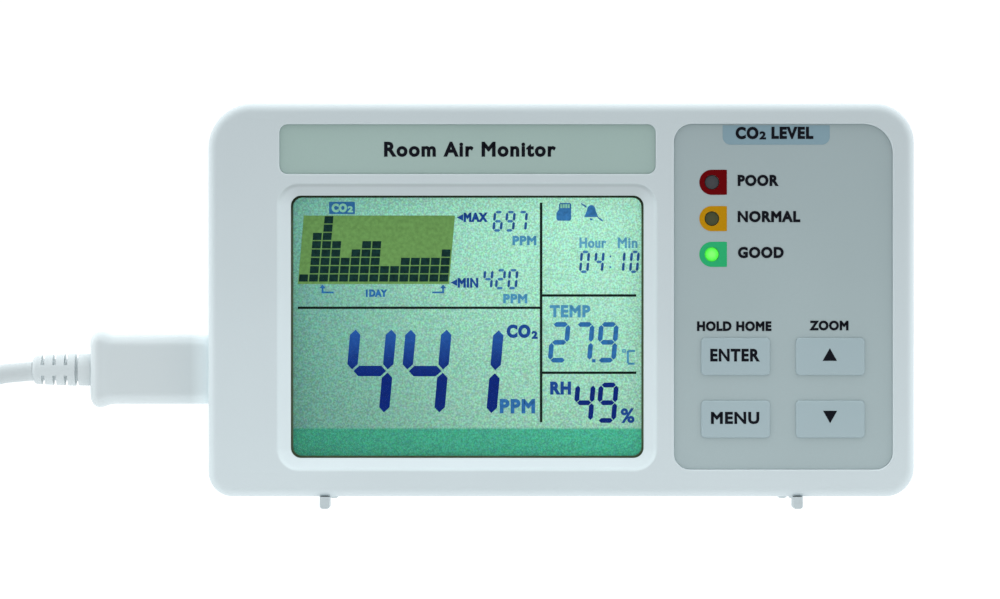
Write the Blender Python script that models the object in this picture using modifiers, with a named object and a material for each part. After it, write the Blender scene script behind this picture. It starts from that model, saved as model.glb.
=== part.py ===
"""Carbon dioxide monitor with a graph display, built as separate pieces.

Metres, +Z up. The front faces -Y, X is centred on the case and Z = 0 is the
surface that the two swivel feet stand on.
"""

import math

import bmesh
import bpy
from mathutils import Matrix, Vector

MM = 0.001
GAP = 0.3 * MM  # air left between pieces that touch

# Case, front shell and rear shell
CASE_HALF = 82.15 * MM
CASE_LOW = 2.85 * MM
CASE_TOP = 94.3 * MM
CASE_FRONT = -28 * MM
CASE_SPLIT = -14 * MM
CASE_BACK = -2 * MM
CASE_CORNERS = (8.5 * MM, 8.0 * MM, 6.3 * MM, 5.7 * MM)
CASE_EDGE = 2.4 * MM
WALL = 2.2 * MM
FRONT_INSIDE = -25.3 * MM
BACK_INSIDE = -4.2 * MM
LIP_FRONT = -15.35 * MM
LIP_INSET = 2.5 * MM
LIP_WALL = 1.2 * MM
LEDGE_BACK = -12.5 * MM

# Sloped dish and the window in the front shell
DISH_LOW = (-66.2 * MM, 8.8 * MM)
DISH_HIGH = (22.3 * MM, 75.8 * MM)
DISH_CORNER = 5.3 * MM
DISH_FLOOR = -26.4 * MM
WINDOW_LOW = (-62.55 * MM, 12.2 * MM)
WINDOW_HIGH = (18.8 * MM, 72.5 * MM)
WINDOW_CORNER = 2.0 * MM
WINDOW_MARGIN = 0.35 * MM
WINDOW_FRONT = -26.2 * MM
WINDOW_BACK = -24.7 * MM

# Nameplate and key panel, both sunk into the front shell
NAME_LOW = (-65.5 * MM, 77.9 * MM)
NAME_HIGH = (21.9 * MM, 89.4 * MM)
NAME_CORNER = 1.9 * MM
PANEL_LOW = (26.2 * MM, 9.2 * MM)
PANEL_HIGH = (77.0 * MM, 89.5 * MM)
PANEL_CORNERS = (4.2 * MM, 6.8 * MM, 4.0 * MM, 3.7 * MM)
RECESS_FLOOR = -26.7 * MM
PANEL_FRONT = -27.4 * MM
PANEL_BACK = -27.0 * MM

# Keys, tact switches and lamps
KEY_HALF = (8.0 * MM, 4.325 * MM)
KEY_CORNER = 0.9 * MM
KEY_FRONT = -27.9 * MM
KEY_FLANGE_FRONT = -25.0 * MM
KEY_FLANGE_BACK = -24.2 * MM
KEY_FLANGE = 0.9 * MM
KEYS = {
    "enter": (40.5 * MM, 35.45 * MM),
    "menu": (40.5 * MM, 20.9 * MM),
    "up": (62.5 * MM, 35.45 * MM),
    "down": (62.5 * MM, 20.9 * MM),
}
LED_X = 35.0 * MM
LEDS = {"poor": 75.95 * MM, "normal": 67.5 * MM, "good": 59.2 * MM}
LED_RADIUS = 1.4 * MM
LED_HOLE = 1.7 * MM

# Main board
BOARD_FRONT = -18.1 * MM
BOARD_BACK = -16.5 * MM
BOARD_LOW = (-79.2 * MM, 7.6 * MM)
BOARD_HIGH = (79.2 * MM, 91.4 * MM)
ON_FRONT = BOARD_FRONT - GAP
ON_BACK = BOARD_BACK + GAP

# Screws: (X, Z)
CASE_SCREWS = ((-75, 11.8), (75, 11.8), (-75, 85.6), (75, 85.6))
BOARD_SCREWS = ((-72.6, 50), (28.4, 50), (72.6, 44), (-20, 85.2))
CASE_BOSS = 3.0 * MM
BOARD_BOSS = 2.2 * MM
BOARD_BOSS_BACK = BOARD_FRONT - GAP

# Feet
FOOT_X = 55 * MM
FOOT_WIDTH = 2.3 * MM
FOOT_HEIGHT = 2.5 * MM
FOOT_FRONT = -27.8 * MM
FOOT_BACK = 28 * MM
FOOT_PAD = 5.8 * MM
FOOT_BAR_WIDTH = 1.9 * MM
FOOT_BAR_LOW = 1.5 * MM
FOOT_BAR_HIGH = 2.4 * MM
FOOT_NECK = 1.15 * MM
FOOT_FLANGE = 3.5 * MM
FOOT_FLANGE_LOW = 5.5 * MM
FOOT_FLANGE_HIGH = 7.0 * MM

# Rear shell features
KEYHOLE_X = 50 * MM
KEYHOLE_Z = 70 * MM
KEYHOLE_HEAD = 4.0 * MM
KEYHOLE_NECK = 2.1 * MM
KEYHOLE_RISE = 7.0 * MM
LABEL_LOW = (-30 * MM, 57 * MM)
LABEL_HIGH = (30 * MM, 84 * MM)

# Gas sensor
TUBE_Y = -8.6 * MM
TUBE_Z = 42 * MM
TUBE_ENDS = (-20 * MM, 10 * MM)

# Sounder
SOUNDER = (40 * MM, 26 * MM)

# Card slot and power socket
CARD_Z = 60 * MM
CARD_HALF = 5.5 * MM
PLUG_Z = 32.25 * MM
PLUG_Y = -14 * MM

# Power lead
LEAD_RADIUS = 2.25 * MM
LEAD_ROUTE = (
    (-124.4, -14, 31.8),
    (-128, -14, 31.5),
    (-132, -14, 31.0),
    (-138, -14, 29.0),
    (-144, -14, 25.2),
    (-150, -14, 20.1),
    (-156, -14, 14.6),
    (-162, -14, 9.7),
    (-169.5, -14, 5.1),
)
TAIL_ROUTE = (
    (-211.1, 0.5, 16.5),
    (-213.0, 4.9, 16.7),
    (-213.6, 9.75, 16.9),
    (-213.0, 14.6, 17.1),
    (-211.1, 19.0, 17.3),
    (-208.2, 22.9, 17.5),
    (-204.4, 25.75, 17.7),
    (-199.9, 27.6, 17.9),
    (-195.1, 28.25, 18.1),
)
COIL_CENTRE = Vector((-186 * MM, 15 * MM, 0))
COIL_MIDDLE = 24.4 * MM
COIL_HALF = 6.9 * MM
COIL_LOW = 0.2 * MM
COIL_HIGH = 13.8 * MM
COIL_CHAMFER = 1.6 * MM
TIE_HALF_WIDTH = 3.0 * MM
TIE_SINK = 1.2 * MM
TIE_THICKNESS = 0.8 * MM
FAR_PLUG_Y = 28.25 * MM
FAR_PLUG_Z = 18.1 * MM

# Finishes: base colour, roughness, metallic
WHITE_PLASTIC = ((0.62, 0.69, 0.72), 0.45, 0.0)
GREY_FILM = ((0.34, 0.42, 0.45), 0.5, 0.0)
DARK_PLASTIC = ((0.03, 0.03, 0.035), 0.5, 0.0)
BOARD_GREEN = ((0.02, 0.16, 0.07), 0.4, 0.0)
STEEL = ((0.6, 0.6, 0.62), 0.3, 1.0)
GOLD = ((0.85, 0.65, 0.3), 0.3, 1.0)
LCD_GREEN = ((0.33, 0.68, 0.47), 0.35, 0.0)
CLEAR = ((0.9, 0.95, 0.95), 0.05, 0.0)
RUBBER = ((0.05, 0.05, 0.05), 0.8, 0.0)
PAPER = ((0.8, 0.8, 0.78), 0.6, 0.0)
LEAD_PLASTIC = ((0.66, 0.71, 0.73), 0.5, 0.0)
RED = ((0.12, 0.05, 0.05), 0.3, 0.0)
AMBER = ((0.12, 0.09, 0.04), 0.3, 0.0)
GREEN = ((0.2, 0.9, 0.1), 0.3, 0.0)


def clear_scene():
    for obj in list(bpy.data.objects):
        bpy.data.objects.remove(obj, do_unlink=True)


def collection(name, hidden=False):
    made = bpy.data.collections.new(name)
    bpy.context.scene.collection.children.link(made)
    made.hide_render = hidden
    return made


clear_scene()
PARTS = collection("carbon_dioxide_monitor")
CUTTERS = collection("cutters", hidden=True)


def add(name, mesh_or_curve, where, location=(0, 0, 0)):
    obj = bpy.data.objects.new(name, mesh_or_curve)
    obj.location = location
    where.objects.link(obj)
    if where is not PARTS:
        obj.hide_render = True
        obj.display_type = "WIRE"
    return obj


def smooth(mesh):
    mesh.shade_smooth()
    mesh.set_sharp_from_angle(angle=math.radians(35))


def finish(obj, look):
    """Gives a piece its own Principled material."""
    colour, roughness, metallic = look
    material = bpy.data.materials.new(obj.name)
    material.use_nodes = True
    shader = material.node_tree.nodes["Principled BSDF"]
    shader.inputs["Base Color"].default_value = (*colour, 1)
    shader.inputs["Roughness"].default_value = roughness
    shader.inputs["Metallic"].default_value = metallic
    obj.data.materials.clear()
    obj.data.materials.append(material)
    return obj


def edges_where(bm, test):
    return [edge for edge in bm.edges if all(test(v.co) for v in edge.verts)]


def bevel(bm, edges, width, steps):
    bmesh.ops.bevel(
        bm, geom=edges, offset=width, segments=steps, profile=0.5, affect="EDGES"
    )


def block(name, low, high, where=None, corners=0, steps=4, front_edge=0, back_edge=0):
    """A box whose four edges along Y can be rounded, each corner by its own radius,
    in the order top left, top right, bottom right, bottom left seen from the front."""
    low, high = Vector(low), Vector(high)
    half = (high - low) / 2
    bm = bmesh.new()
    bmesh.ops.create_cube(bm, size=2, matrix=Matrix.Diagonal((*half, 1)))
    radii = corners if isinstance(corners, tuple) else (corners,) * 4
    for (side, up), radius in zip(((-1, 1), (1, 1), (1, -1), (-1, -1)), radii):
        if radius:
            corner = edges_where(
                bm, lambda co: co.x * side > half.x * 0.999 and co.z * up > half.z * 0.999
            )
            along_y = [e for e in corner if e.calc_length() > half.y * 1.9]
            bevel(bm, along_y, radius, steps)
    for sign, edge in ((-1, front_edge), (1, back_edge)):
        if edge:
            rim = edges_where(bm, lambda co: co.y * sign > half.y * 0.999)
            bevel(bm, rim, edge, 3)
    bmesh.ops.recalc_face_normals(bm, faces=bm.faces)
    mesh = bpy.data.meshes.new(name)
    bm.to_mesh(mesh)
    bm.free()
    smooth(mesh)
    return add(name, mesh, where or PARTS, (low + high) / 2)


def plate(name, low, high, front, back, where=None, **more):
    """A block given by its corners in X and Z and its two faces in Y."""
    return block(name, (low[0], front, low[1]), (high[0], back, high[1]), where, **more)


def rod(name, radius, start, end, where=None, sides=20):
    start, end = Vector(start), Vector(end)
    bm = bmesh.new()
    bmesh.ops.create_cone(
        bm,
        cap_ends=True,
        segments=sides,
        radius1=radius,
        radius2=radius,
        depth=(end - start).length,
    )
    mesh = bpy.data.meshes.new(name)
    bm.to_mesh(mesh)
    bm.free()
    smooth(mesh)
    obj = add(name, mesh, where or PARTS, (start + end) / 2)
    obj.rotation_mode = "QUATERNION"
    obj.rotation_quaternion = (end - start).to_track_quat("Z", "Y")
    return obj


def turned(name, profile, start, axis, where=None, sides=20):
    """A solid of revolution. Profile points are (radius, height along the axis),
    from the top down the outer side."""
    bm = bmesh.new()
    line = [bm.verts.new((radius, 0, height)) for radius, height in profile]
    for first, second in zip(line, line[1:]):
        bm.edges.new((first, second))
    mesh = bpy.data.meshes.new(name)
    bm.to_mesh(mesh)
    bm.free()
    obj = add(name, mesh, where or PARTS, start)
    obj.rotation_mode = "QUATERNION"
    obj.rotation_quaternion = Vector(axis).to_track_quat("Z", "Y")
    screw = obj.modifiers.new("turn", "SCREW")
    screw.steps = sides
    screw.render_steps = sides
    screw.use_merge_vertices = True
    screw.merge_threshold = 0.00001
    screw.use_smooth_shade = True
    return obj


def tube(name, points, radius):
    curve = bpy.data.curves.new(name, "CURVE")
    curve.dimensions = "3D"
    curve.bevel_depth = radius
    curve.bevel_resolution = 2
    curve.use_fill_caps = True
    spline = curve.splines.new("POLY")
    spline.points.add(len(points) - 1)
    for point, co in zip(spline.points, points):
        point.co = (*co, 1)
    return add(name, curve, PARTS)


def smooth_route(points, step):
    """Points about a step apart on a Catmull-Rom curve through the given ones."""
    knots = [Vector(p) * MM for p in points]
    knots = [2 * knots[0] - knots[1], *knots, 2 * knots[-1] - knots[-2]]
    route = []
    for a, b, c, d in zip(knots, knots[1:], knots[2:], knots[3:]):
        count = max(1, round((c - b).length / step))
        for i in range(count):
            t = i / count
            route.append(
                0.5
                * (
                    2 * b
                    + (c - a) * t
                    + (2 * a - 5 * b + 4 * c - d) * t**2
                    + (3 * b - a - 3 * c + d) * t**3
                )
            )
    return [*route, knots[-2]]


def boolean(obj, operation, *tools):
    """Joins each tool to a piece, or cuts it out."""
    for tool in tools:
        modifier = obj.modifiers.new(tool.name, "BOOLEAN")
        modifier.operation = operation
        modifier.solver = "EXACT"
        modifier.object = tool
    return obj


def join(obj, *tools):
    return boolean(obj, "UNION", *tools)


def cut(obj, *tools):
    return boolean(obj, "DIFFERENCE", *tools)


def copies(template, places, look):
    """The evaluated template's mesh as one object for each named place."""
    bpy.context.view_layer.update()
    graph = bpy.context.evaluated_depsgraph_get()
    mesh = bpy.data.meshes.new_from_object(template.evaluated_get(graph))
    mesh.transform(template.matrix_world)
    smooth(mesh)
    for name, place in places.items():
        finish(add(name, mesh.copy(), PARTS, place), look)


def loft(name, sections, where):
    """A closed solid through rings that have the same number of points."""
    bm = bmesh.new()
    rings = [[bm.verts.new(co) for co in ring] for ring in sections]
    count = len(rings[0])
    for ring, following in zip(rings, rings[1:]):
        for i in range(count):
            j = (i + 1) % count
            bm.faces.new((ring[i], ring[j], following[j], following[i]))
    bm.faces.new(list(reversed(rings[0])))
    bm.faces.new(rings[-1])
    bmesh.ops.recalc_face_normals(bm, faces=bm.faces)
    mesh = bpy.data.meshes.new(name)
    bm.to_mesh(mesh)
    bm.free()
    smooth(mesh)
    return add(name, mesh, where)


def rounded_ring(low, high, radius, steps=4):
    """Corner points, two coordinates each, of a rectangle with round corners."""
    points = []
    for k, (x, z) in enumerate(((1, 1), (0, 1), (0, 0), (1, 0))):
        centre_x = high[0] - radius if x else low[0] + radius
        centre_z = high[1] - radius if z else low[1] + radius
        for i in range(steps + 1):
            angle = math.radians(90 * (k + i / steps))
            points.append(
                (centre_x + radius * math.cos(angle), centre_z + radius * math.sin(angle))
            )
    return points


def shrunk(low, high, by):
    return (low[0] + by, low[1] + by), (high[0] - by, high[1] - by)


def case_corners(inset):
    return tuple(radius - inset for radius in CASE_CORNERS)


def case_plate(name, inset, front, back, where=None, **more):
    """A block with the case's outline, drawn in by an inset."""
    low = (-CASE_HALF + inset, CASE_LOW + inset)
    high = (CASE_HALF - inset, CASE_TOP - inset)
    return plate(
        name, low, high, front, back, where, corners=case_corners(inset), **more
    )


def at(place, y):
    """A point from an (X, Z) place."""
    return (place[0], y, place[1])


def screw_places(screws):
    return [(x * MM, z * MM) for x, z in screws]


def key_window(name, centre, margin, front, back):
    low = (centre[0] - KEY_HALF[0] - margin, centre[1] - KEY_HALF[1] - margin)
    high = (centre[0] + KEY_HALF[0] + margin, centre[1] + KEY_HALF[1] + margin)
    return plate(name, low, high, front, back, CUTTERS, corners=KEY_CORNER, steps=2)


def foot_cutters(prefix, flange_clearance):
    """Room for both feet's necks and, in the rear shell's ledge, for their flanges."""
    tools = []
    for side in (-1, 1):
        x = side * FOOT_X
        tools.append(
            rod(
                f"{prefix}_foot_neck_{side}",
                FOOT_NECK + GAP,
                (x, CASE_SPLIT, CASE_LOW - MM),
                (x, CASE_SPLIT, CASE_LOW + WALL + MM),
                CUTTERS,
            )
        )
        if flange_clearance:
            tools.append(
                rod(
                    f"{prefix}_foot_flange_{side}",
                    FOOT_FLANGE + 2 * GAP,
                    (x, CASE_SPLIT, CASE_LOW + WALL),
                    (x, CASE_SPLIT, FOOT_FLANGE_HIGH + 2 * MM),
                    CUTTERS,
                )
            )
    return tools


def socket_cutter(name):
    return block(
        name,
        (-83 * MM, PLUG_Y - 2.6 * MM, PLUG_Z - 4.9 * MM),
        (-77 * MM, PLUG_Y + 2.6 * MM, PLUG_Z + 4.9 * MM),
        CUTTERS,
    )


def card_cutter(name):
    return block(
        name,
        (77 * MM, -16.1 * MM, CARD_Z - 5.9 * MM),
        (83 * MM, CASE_SPLIT + GAP / 2, CARD_Z + 5.9 * MM),
        CUTTERS,
    )


def dish_cutter():
    """The sloped dish, then the window opening through the wall."""
    outer = rounded_ring(DISH_LOW, DISH_HIGH, DISH_CORNER)
    opening = shrunk(WINDOW_LOW, WINDOW_HIGH, -WINDOW_MARGIN)
    inner = rounded_ring(*opening, WINDOW_CORNER + WINDOW_MARGIN)
    sections = (
        (outer, CASE_FRONT - MM),
        (outer, CASE_FRONT),
        (inner, DISH_FLOOR),
        (inner, FRONT_INSIDE + MM),
    )
    rings = [[(x, y, z) for x, z in ring] for ring, y in sections]
    return loft("cut_dish", rings, CUTTERS)


def front_case():
    case = case_plate(
        "front_case", 0, CASE_FRONT, CASE_SPLIT - GAP / 2, front_edge=CASE_EDGE
    )
    cut(
        case,
        case_plate("cut_front_cavity", WALL, FRONT_INSIDE, CASE_SPLIT + MM, CUTTERS),
        dish_cutter(),
        plate(
            "cut_nameplate",
            NAME_LOW,
            NAME_HIGH,
            CASE_FRONT - MM,
            RECESS_FLOOR,
            CUTTERS,
            corners=NAME_CORNER,
        ),
        plate(
            "cut_key_panel",
            PANEL_LOW,
            PANEL_HIGH,
            CASE_FRONT - MM,
            RECESS_FLOOR,
            CUTTERS,
            corners=PANEL_CORNERS,
        ),
    )
    for i, place in enumerate(screw_places(CASE_SCREWS)):
        join(
            case,
            rod(
                f"case_boss_{i}",
                CASE_BOSS,
                at(place, FRONT_INSIDE - 0.5 * MM),
                at(place, CASE_SPLIT - GAP / 2),
                CUTTERS,
            ),
        )
        cut(
            case,
            rod(
                f"case_pilot_{i}",
                1.5 * MM,
                at(place, -18.2 * MM),
                at(place, CASE_SPLIT + MM),
                CUTTERS,
                sides=12,
            ),
        )
    for i, place in enumerate(screw_places(BOARD_SCREWS)):
        join(
            case,
            rod(
                f"board_boss_{i}",
                BOARD_BOSS,
                at(place, FRONT_INSIDE - 0.5 * MM),
                at(place, BOARD_BOSS_BACK),
                CUTTERS,
                sides=12,
            ),
        )
        cut(
            case,
            rod(
                f"board_pilot_{i}",
                1.3 * MM,
                at(place, -22 * MM),
                at(place, BOARD_BOSS_BACK + MM),
                CUTTERS,
                sides=12,
            ),
        )
    for name, centre in KEYS.items():
        cut(case, key_window(f"cut_key_{name}", centre, GAP, CASE_FRONT, -24 * MM))
    for name, z in LEDS.items():
        hole = rod(
            f"cut_led_{name}",
            LED_HOLE + 0.2 * MM,
            (LED_X, CASE_FRONT, z),
            (LED_X, -24 * MM, z),
            CUTTERS,
            sides=16,
        )
        cut(case, hole)
    cut(case, *foot_cutters("front", False))
    cut(case, socket_cutter("cut_front_socket"), card_cutter("cut_front_card"))
    return finish(case, WHITE_PLASTIC)


def vent_slots():
    """Air slots: over the gas sensor in the back, and in the top and bottom walls."""
    slots = []
    for i in range(9):
        x = (-21 + 4 * i) * MM
        slots.append(
            block(
                f"cut_back_slot_{i}",
                (x - 0.9 * MM, -6 * MM, 30 * MM),
                (x + 0.9 * MM, -1 * MM, 49 * MM),
                CUTTERS,
            )
        )
    for i in range(7):
        x = (-18 + 6 * i) * MM
        for name, z in (("top", CASE_TOP), ("bottom", CASE_LOW)):
            slots.append(
                block(
                    f"cut_{name}_slot_{i}",
                    (x - 2 * MM, -10.0 * MM, z - 4 * MM),
                    (x + 2 * MM, -8.4 * MM, z + 4 * MM),
                    CUTTERS,
                )
            )
    return slots


def keyhole_cutters(side):
    x = side * KEYHOLE_X
    return (
        rod(
            f"cut_keyhole_head_{side}",
            KEYHOLE_HEAD,
            (x, -6 * MM, KEYHOLE_Z),
            (x, -1 * MM, KEYHOLE_Z),
            CUTTERS,
        ),
        block(
            f"cut_keyhole_slot_{side}",
            (x - KEYHOLE_NECK, -6 * MM, KEYHOLE_Z),
            (x + KEYHOLE_NECK, -1 * MM, KEYHOLE_Z + KEYHOLE_RISE),
            CUTTERS,
            corners=(1.8 * MM, 1.8 * MM, 0, 0),
        ),
    )


def sounder_holes():
    holes = [(0, 0)]
    for i in range(6):
        angle = math.radians(60 * i)
        holes.append((3.6 * MM * math.cos(angle), 3.6 * MM * math.sin(angle)))
    return [
        rod(
            f"cut_sounder_{i}",
            0.8 * MM,
            (SOUNDER[0] + dx, -6 * MM, SOUNDER[1] + dz),
            (SOUNDER[0] + dx, -1 * MM, SOUNDER[1] + dz),
            CUTTERS,
            sides=10,
        )
        for i, (dx, dz) in enumerate(holes)
    ]


def rear_cover():
    cover = case_plate(
        "rear_cover", 0, CASE_SPLIT + GAP / 2, CASE_BACK, back_edge=CASE_EDGE
    )
    join(
        cover,
        case_plate("rear_lip", LIP_INSET, LIP_FRONT, CASE_SPLIT + MM, CUTTERS),
    )
    cut(
        cover,
        case_plate("cut_rear_cavity", WALL, LEDGE_BACK, BACK_INSIDE, CUTTERS),
        case_plate(
            "cut_rear_ledge",
            LIP_INSET + LIP_WALL,
            LIP_FRONT - MM,
            LEDGE_BACK + MM,
            CUTTERS,
        ),
    )
    for i, place in enumerate(screw_places(CASE_SCREWS)):
        join(
            cover,
            rod(
                f"rear_post_{i}",
                3.4 * MM,
                at(place, CASE_SPLIT + GAP / 2),
                at(place, BACK_INSIDE + 0.5 * MM),
                CUTTERS,
            ),
        )
        cut(
            cover,
            rod(
                f"screw_sink_{i}",
                2.6 * MM,
                at(place, -7.3 * MM),
                at(place, CASE_BACK + MM),
                CUTTERS,
            ),
            rod(
                f"screw_way_{i}",
                1.5 * MM,
                at(place, CASE_SPLIT - MM),
                at(place, -7 * MM),
                CUTTERS,
                sides=12,
            ),
        )
    cut(
        cover,
        plate(
            "cut_label",
            LABEL_LOW,
            LABEL_HIGH,
            -2.6 * MM,
            CASE_BACK + MM,
            CUTTERS,
            corners=2 * MM,
        ),
    )
    cut(cover, *keyhole_cutters(-1), *keyhole_cutters(1))
    cut(cover, *vent_slots(), *sounder_holes())
    cut(cover, *foot_cutters("rear", True))
    cut(cover, socket_cutter("cut_rear_socket"), card_cutter("cut_rear_card"))
    return finish(cover, WHITE_PLASTIC)


def front_fittings():
    """Nameplate, window, gasket and the printed key panel."""
    finish(
        plate(
            "nameplate",
            *shrunk(NAME_LOW, NAME_HIGH, GAP),
            PANEL_FRONT,
            PANEL_BACK,
            corners=NAME_CORNER - GAP,
        ),
        GREY_FILM,
    )
    finish(
        plate(
            "display_window",
            WINDOW_LOW,
            WINDOW_HIGH,
            WINDOW_FRONT,
            WINDOW_BACK,
            corners=WINDOW_CORNER,
        ),
        CLEAR,
    )
    gasket = plate(
        "window_gasket",
        *shrunk(WINDOW_LOW, WINDOW_HIGH, -2.4 * MM),
        -24.4 * MM,
        -23.6 * MM,
        corners=2 * MM,
    )
    opening = plate(
        "cut_gasket",
        *shrunk(WINDOW_LOW, WINDOW_HIGH, 0.05 * MM),
        -25 * MM,
        -23 * MM,
        CUTTERS,
        corners=WINDOW_CORNER,
    )
    finish(cut(gasket, opening), RUBBER)
    panel = plate(
        "key_panel",
        *shrunk(PANEL_LOW, PANEL_HIGH, GAP),
        PANEL_FRONT,
        PANEL_BACK,
        corners=tuple(radius - GAP for radius in PANEL_CORNERS),
    )
    for name, centre in KEYS.items():
        cut(panel, key_window(f"cut_panel_{name}", centre, GAP, -28 * MM, -26 * MM))
    for name, z in LEDS.items():
        hole = rod(
            f"cut_panel_led_{name}",
            LED_HOLE,
            (LED_X, -28 * MM, z),
            (LED_X, -26 * MM, z),
            CUTTERS,
            sides=16,
        )
        cut(panel, hole)
    finish(panel, GREY_FILM)


def display():
    """Glass, backlight and contact strips in their carrier frame."""
    low, high = shrunk(WINDOW_LOW, WINDOW_HIGH, -2.6 * MM)
    finish(plate("lcd_glass", low, high, -23.3 * MM, -21.1 * MM), LCD_GREEN)
    finish(
        plate(
            "backlight_panel",
            (low[0], low[1] + 3 * MM),
            (high[0], high[1] - 3 * MM),
            -20.8 * MM,
            ON_FRONT - 0.2 * MM,
        ),
        PAPER,
    )
    for name, z in (("lower", low[1] + 0.5 * MM), ("upper", high[1] - 2.5 * MM)):
        strip_low = (low[0] + 4 * MM, z)
        strip_high = (high[0] - 4 * MM, z + 2 * MM)
        strip = plate(
            f"contact_strip_{name}", strip_low, strip_high, -20.8 * MM, ON_FRONT
        )
        finish(strip, RUBBER)
    frame = plate(
        "lcd_frame",
        *shrunk(low, high, -2 * MM),
        -23.3 * MM,
        ON_FRONT - 0.1 * MM,
        corners=1.5 * MM,
        steps=2,
    )
    opening = plate(
        "cut_lcd_frame", *shrunk(low, high, -GAP), -24 * MM, -17 * MM, CUTTERS
    )
    finish(cut(frame, opening), PAPER)


def keys():
    half = (KEY_HALF[0] + KEY_FLANGE, KEY_HALF[1] + KEY_FLANGE)
    flange = plate(
        "key_flange",
        (-half[0], -half[1]),
        half,
        KEY_FLANGE_FRONT,
        KEY_FLANGE_BACK,
        CUTTERS,
    )
    cap = plate(
        "key_cap",
        (-KEY_HALF[0], -KEY_HALF[1]),
        KEY_HALF,
        KEY_FRONT,
        KEY_FLANGE_FRONT + 0.3 * MM,
        CUTTERS,
        corners=KEY_CORNER,
        steps=2,
    )
    join(cap, flange)
    places = {f"key_{name}": (x, 0, z) for name, (x, z) in KEYS.items()}
    copies(cap, places, GREY_FILM)


def switches():
    base = block(
        "switch_base", (-3 * MM, -21.5 * MM, -3 * MM), (3 * MM, ON_FRONT, 3 * MM), CUTTERS
    )
    plunger = rod(
        "switch_plunger",
        1.7 * MM,
        (0, -23.3 * MM, 0),
        (0, -21 * MM, 0),
        CUTTERS,
        sides=12,
    )
    join(base, plunger)
    places = {f"switch_{name}": (x, 0, z) for name, (x, z) in KEYS.items()}
    copies(base, places, DARK_PLASTIC)


def lamps():
    """Domed lamps on two wire legs each."""
    tip, shoulder, flange_top, foot = -27.3 * MM, -25.9 * MM, -22.6 * MM, -21.8 * MM
    dome = []
    for i in range(5):
        angle = math.radians(90 - 22.5 * i)
        height = -shoulder + (shoulder - tip) * math.sin(angle)
        dome.append((LED_RADIUS * math.cos(angle) if i else 0, height))
    profile = [
        *dome,
        (LED_RADIUS, -flange_top),
        (1.8 * MM, -flange_top),
        (1.8 * MM, -foot),
        (0, -foot),
    ]
    lamp = turned("led_template", profile, (0, 0, 0), (0, -1, 0), CUTTERS, sides=16)
    for side in (-1, 1):
        leg = rod(
            f"led_leg_{side}",
            0.25 * MM,
            (0, foot - 0.5 * MM, side * MM),
            (0, ON_FRONT, side * MM),
            CUTTERS,
            sides=8,
        )
        join(lamp, leg)
    places = {f"led_{name}": (LED_X, 0, z) for name, z in LEDS.items()}
    copies(lamp, places, PAPER)
    for name, look in (("poor", RED), ("normal", AMBER), ("good", GREEN)):
        finish(bpy.data.objects[f"led_{name}"], look)


def main_board():
    board = plate(
        "main_board", BOARD_LOW, BOARD_HIGH, BOARD_FRONT, BOARD_BACK, corners=6 * MM
    )
    for i, place in enumerate(screw_places(CASE_SCREWS)):
        notch = rod(
            f"cut_board_notch_{i}",
            CASE_BOSS + 0.7 * MM,
            at(place, BOARD_FRONT - MM),
            at(place, BOARD_BACK + MM),
            CUTTERS,
        )
        cut(board, notch)
    for i, place in enumerate(screw_places(BOARD_SCREWS)):
        hole = rod(
            f"cut_board_hole_{i}",
            1.3 * MM,
            at(place, BOARD_FRONT - MM),
            at(place, BOARD_BACK + MM),
            CUTTERS,
            sides=12,
        )
        cut(board, hole)
    finish(board, BOARD_GREEN)


def screw(template, head_radius, head_height, shank_radius, length):
    """A round-headed screw, its tip at Y = 0 and its head at +Y."""
    profile = (
        (0, length + head_height),
        (head_radius * 0.7, length + head_height),
        (head_radius, length + head_height * 0.5),
        (head_radius, length),
        (shank_radius, length),
        (shank_radius, 0.8 * MM),
        (0, 0),
    )
    return turned(template, profile, (0, 0, 0), (0, 1, 0), CUTTERS, sides=12)


def screws():
    groups = (
        ("case_screw", CASE_SCREWS, (2.3 * MM, 1.7 * MM, 1.2 * MM, 10.5 * MM), -17.5),
        ("board_screw", BOARD_SCREWS, (1.9 * MM, 1.3 * MM, 1.0 * MM, 5.0 * MM), -21.2),
    )
    for name, spots, sizes, tip in groups:
        places = {
            f"{name}_{i + 1}": at(place, tip * MM)
            for i, place in enumerate(screw_places(spots))
        }
        copies(screw(f"{name}_template", *sizes), places, STEEL)


def board_fittings():
    """Controller, sounder, clock battery and climate sensor on the board's back."""
    finish(
        block(
            "microcontroller",
            (-52 * MM, ON_BACK, 23 * MM),
            (-38 * MM, ON_BACK + 1.6 * MM, 37 * MM),
            back_edge=0.3 * MM,
        ),
        DARK_PLASTIC,
    )
    sounder = rod("sounder", 6 * MM, at(SOUNDER, ON_BACK), at(SOUNDER, -9.7 * MM))
    throat = rod(
        "cut_sounder_throat",
        MM,
        at(SOUNDER, -12 * MM),
        at(SOUNDER, -9 * MM),
        CUTTERS,
        sides=10,
    )
    finish(cut(sounder, throat), DARK_PLASTIC)
    centre = (50 * MM, 48 * MM)
    holder = rod("battery_holder", 11.5 * MM, at(centre, ON_BACK), at(centre, -12 * MM))
    well = rod(
        "cut_battery_well", 10.4 * MM, at(centre, -15.3 * MM), at(centre, -11 * MM), CUTTERS
    )
    finish(cut(holder, well), DARK_PLASTIC)
    finish(
        rod("clock_battery", 10 * MM, at(centre, -15 * MM), at(centre, -11.8 * MM)), STEEL
    )
    sensor = block(
        "climate_sensor", (21 * MM, ON_BACK, 9 * MM), (29 * MM, -15.2 * MM, 18 * MM)
    )
    cap = block(
        "climate_sensor_cap",
        (23 * MM, -15.5 * MM, 11.5 * MM),
        (27 * MM, -13.6 * MM, 15.5 * MM),
        CUTTERS,
    )
    finish(join(sensor, cap), PAPER)


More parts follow.
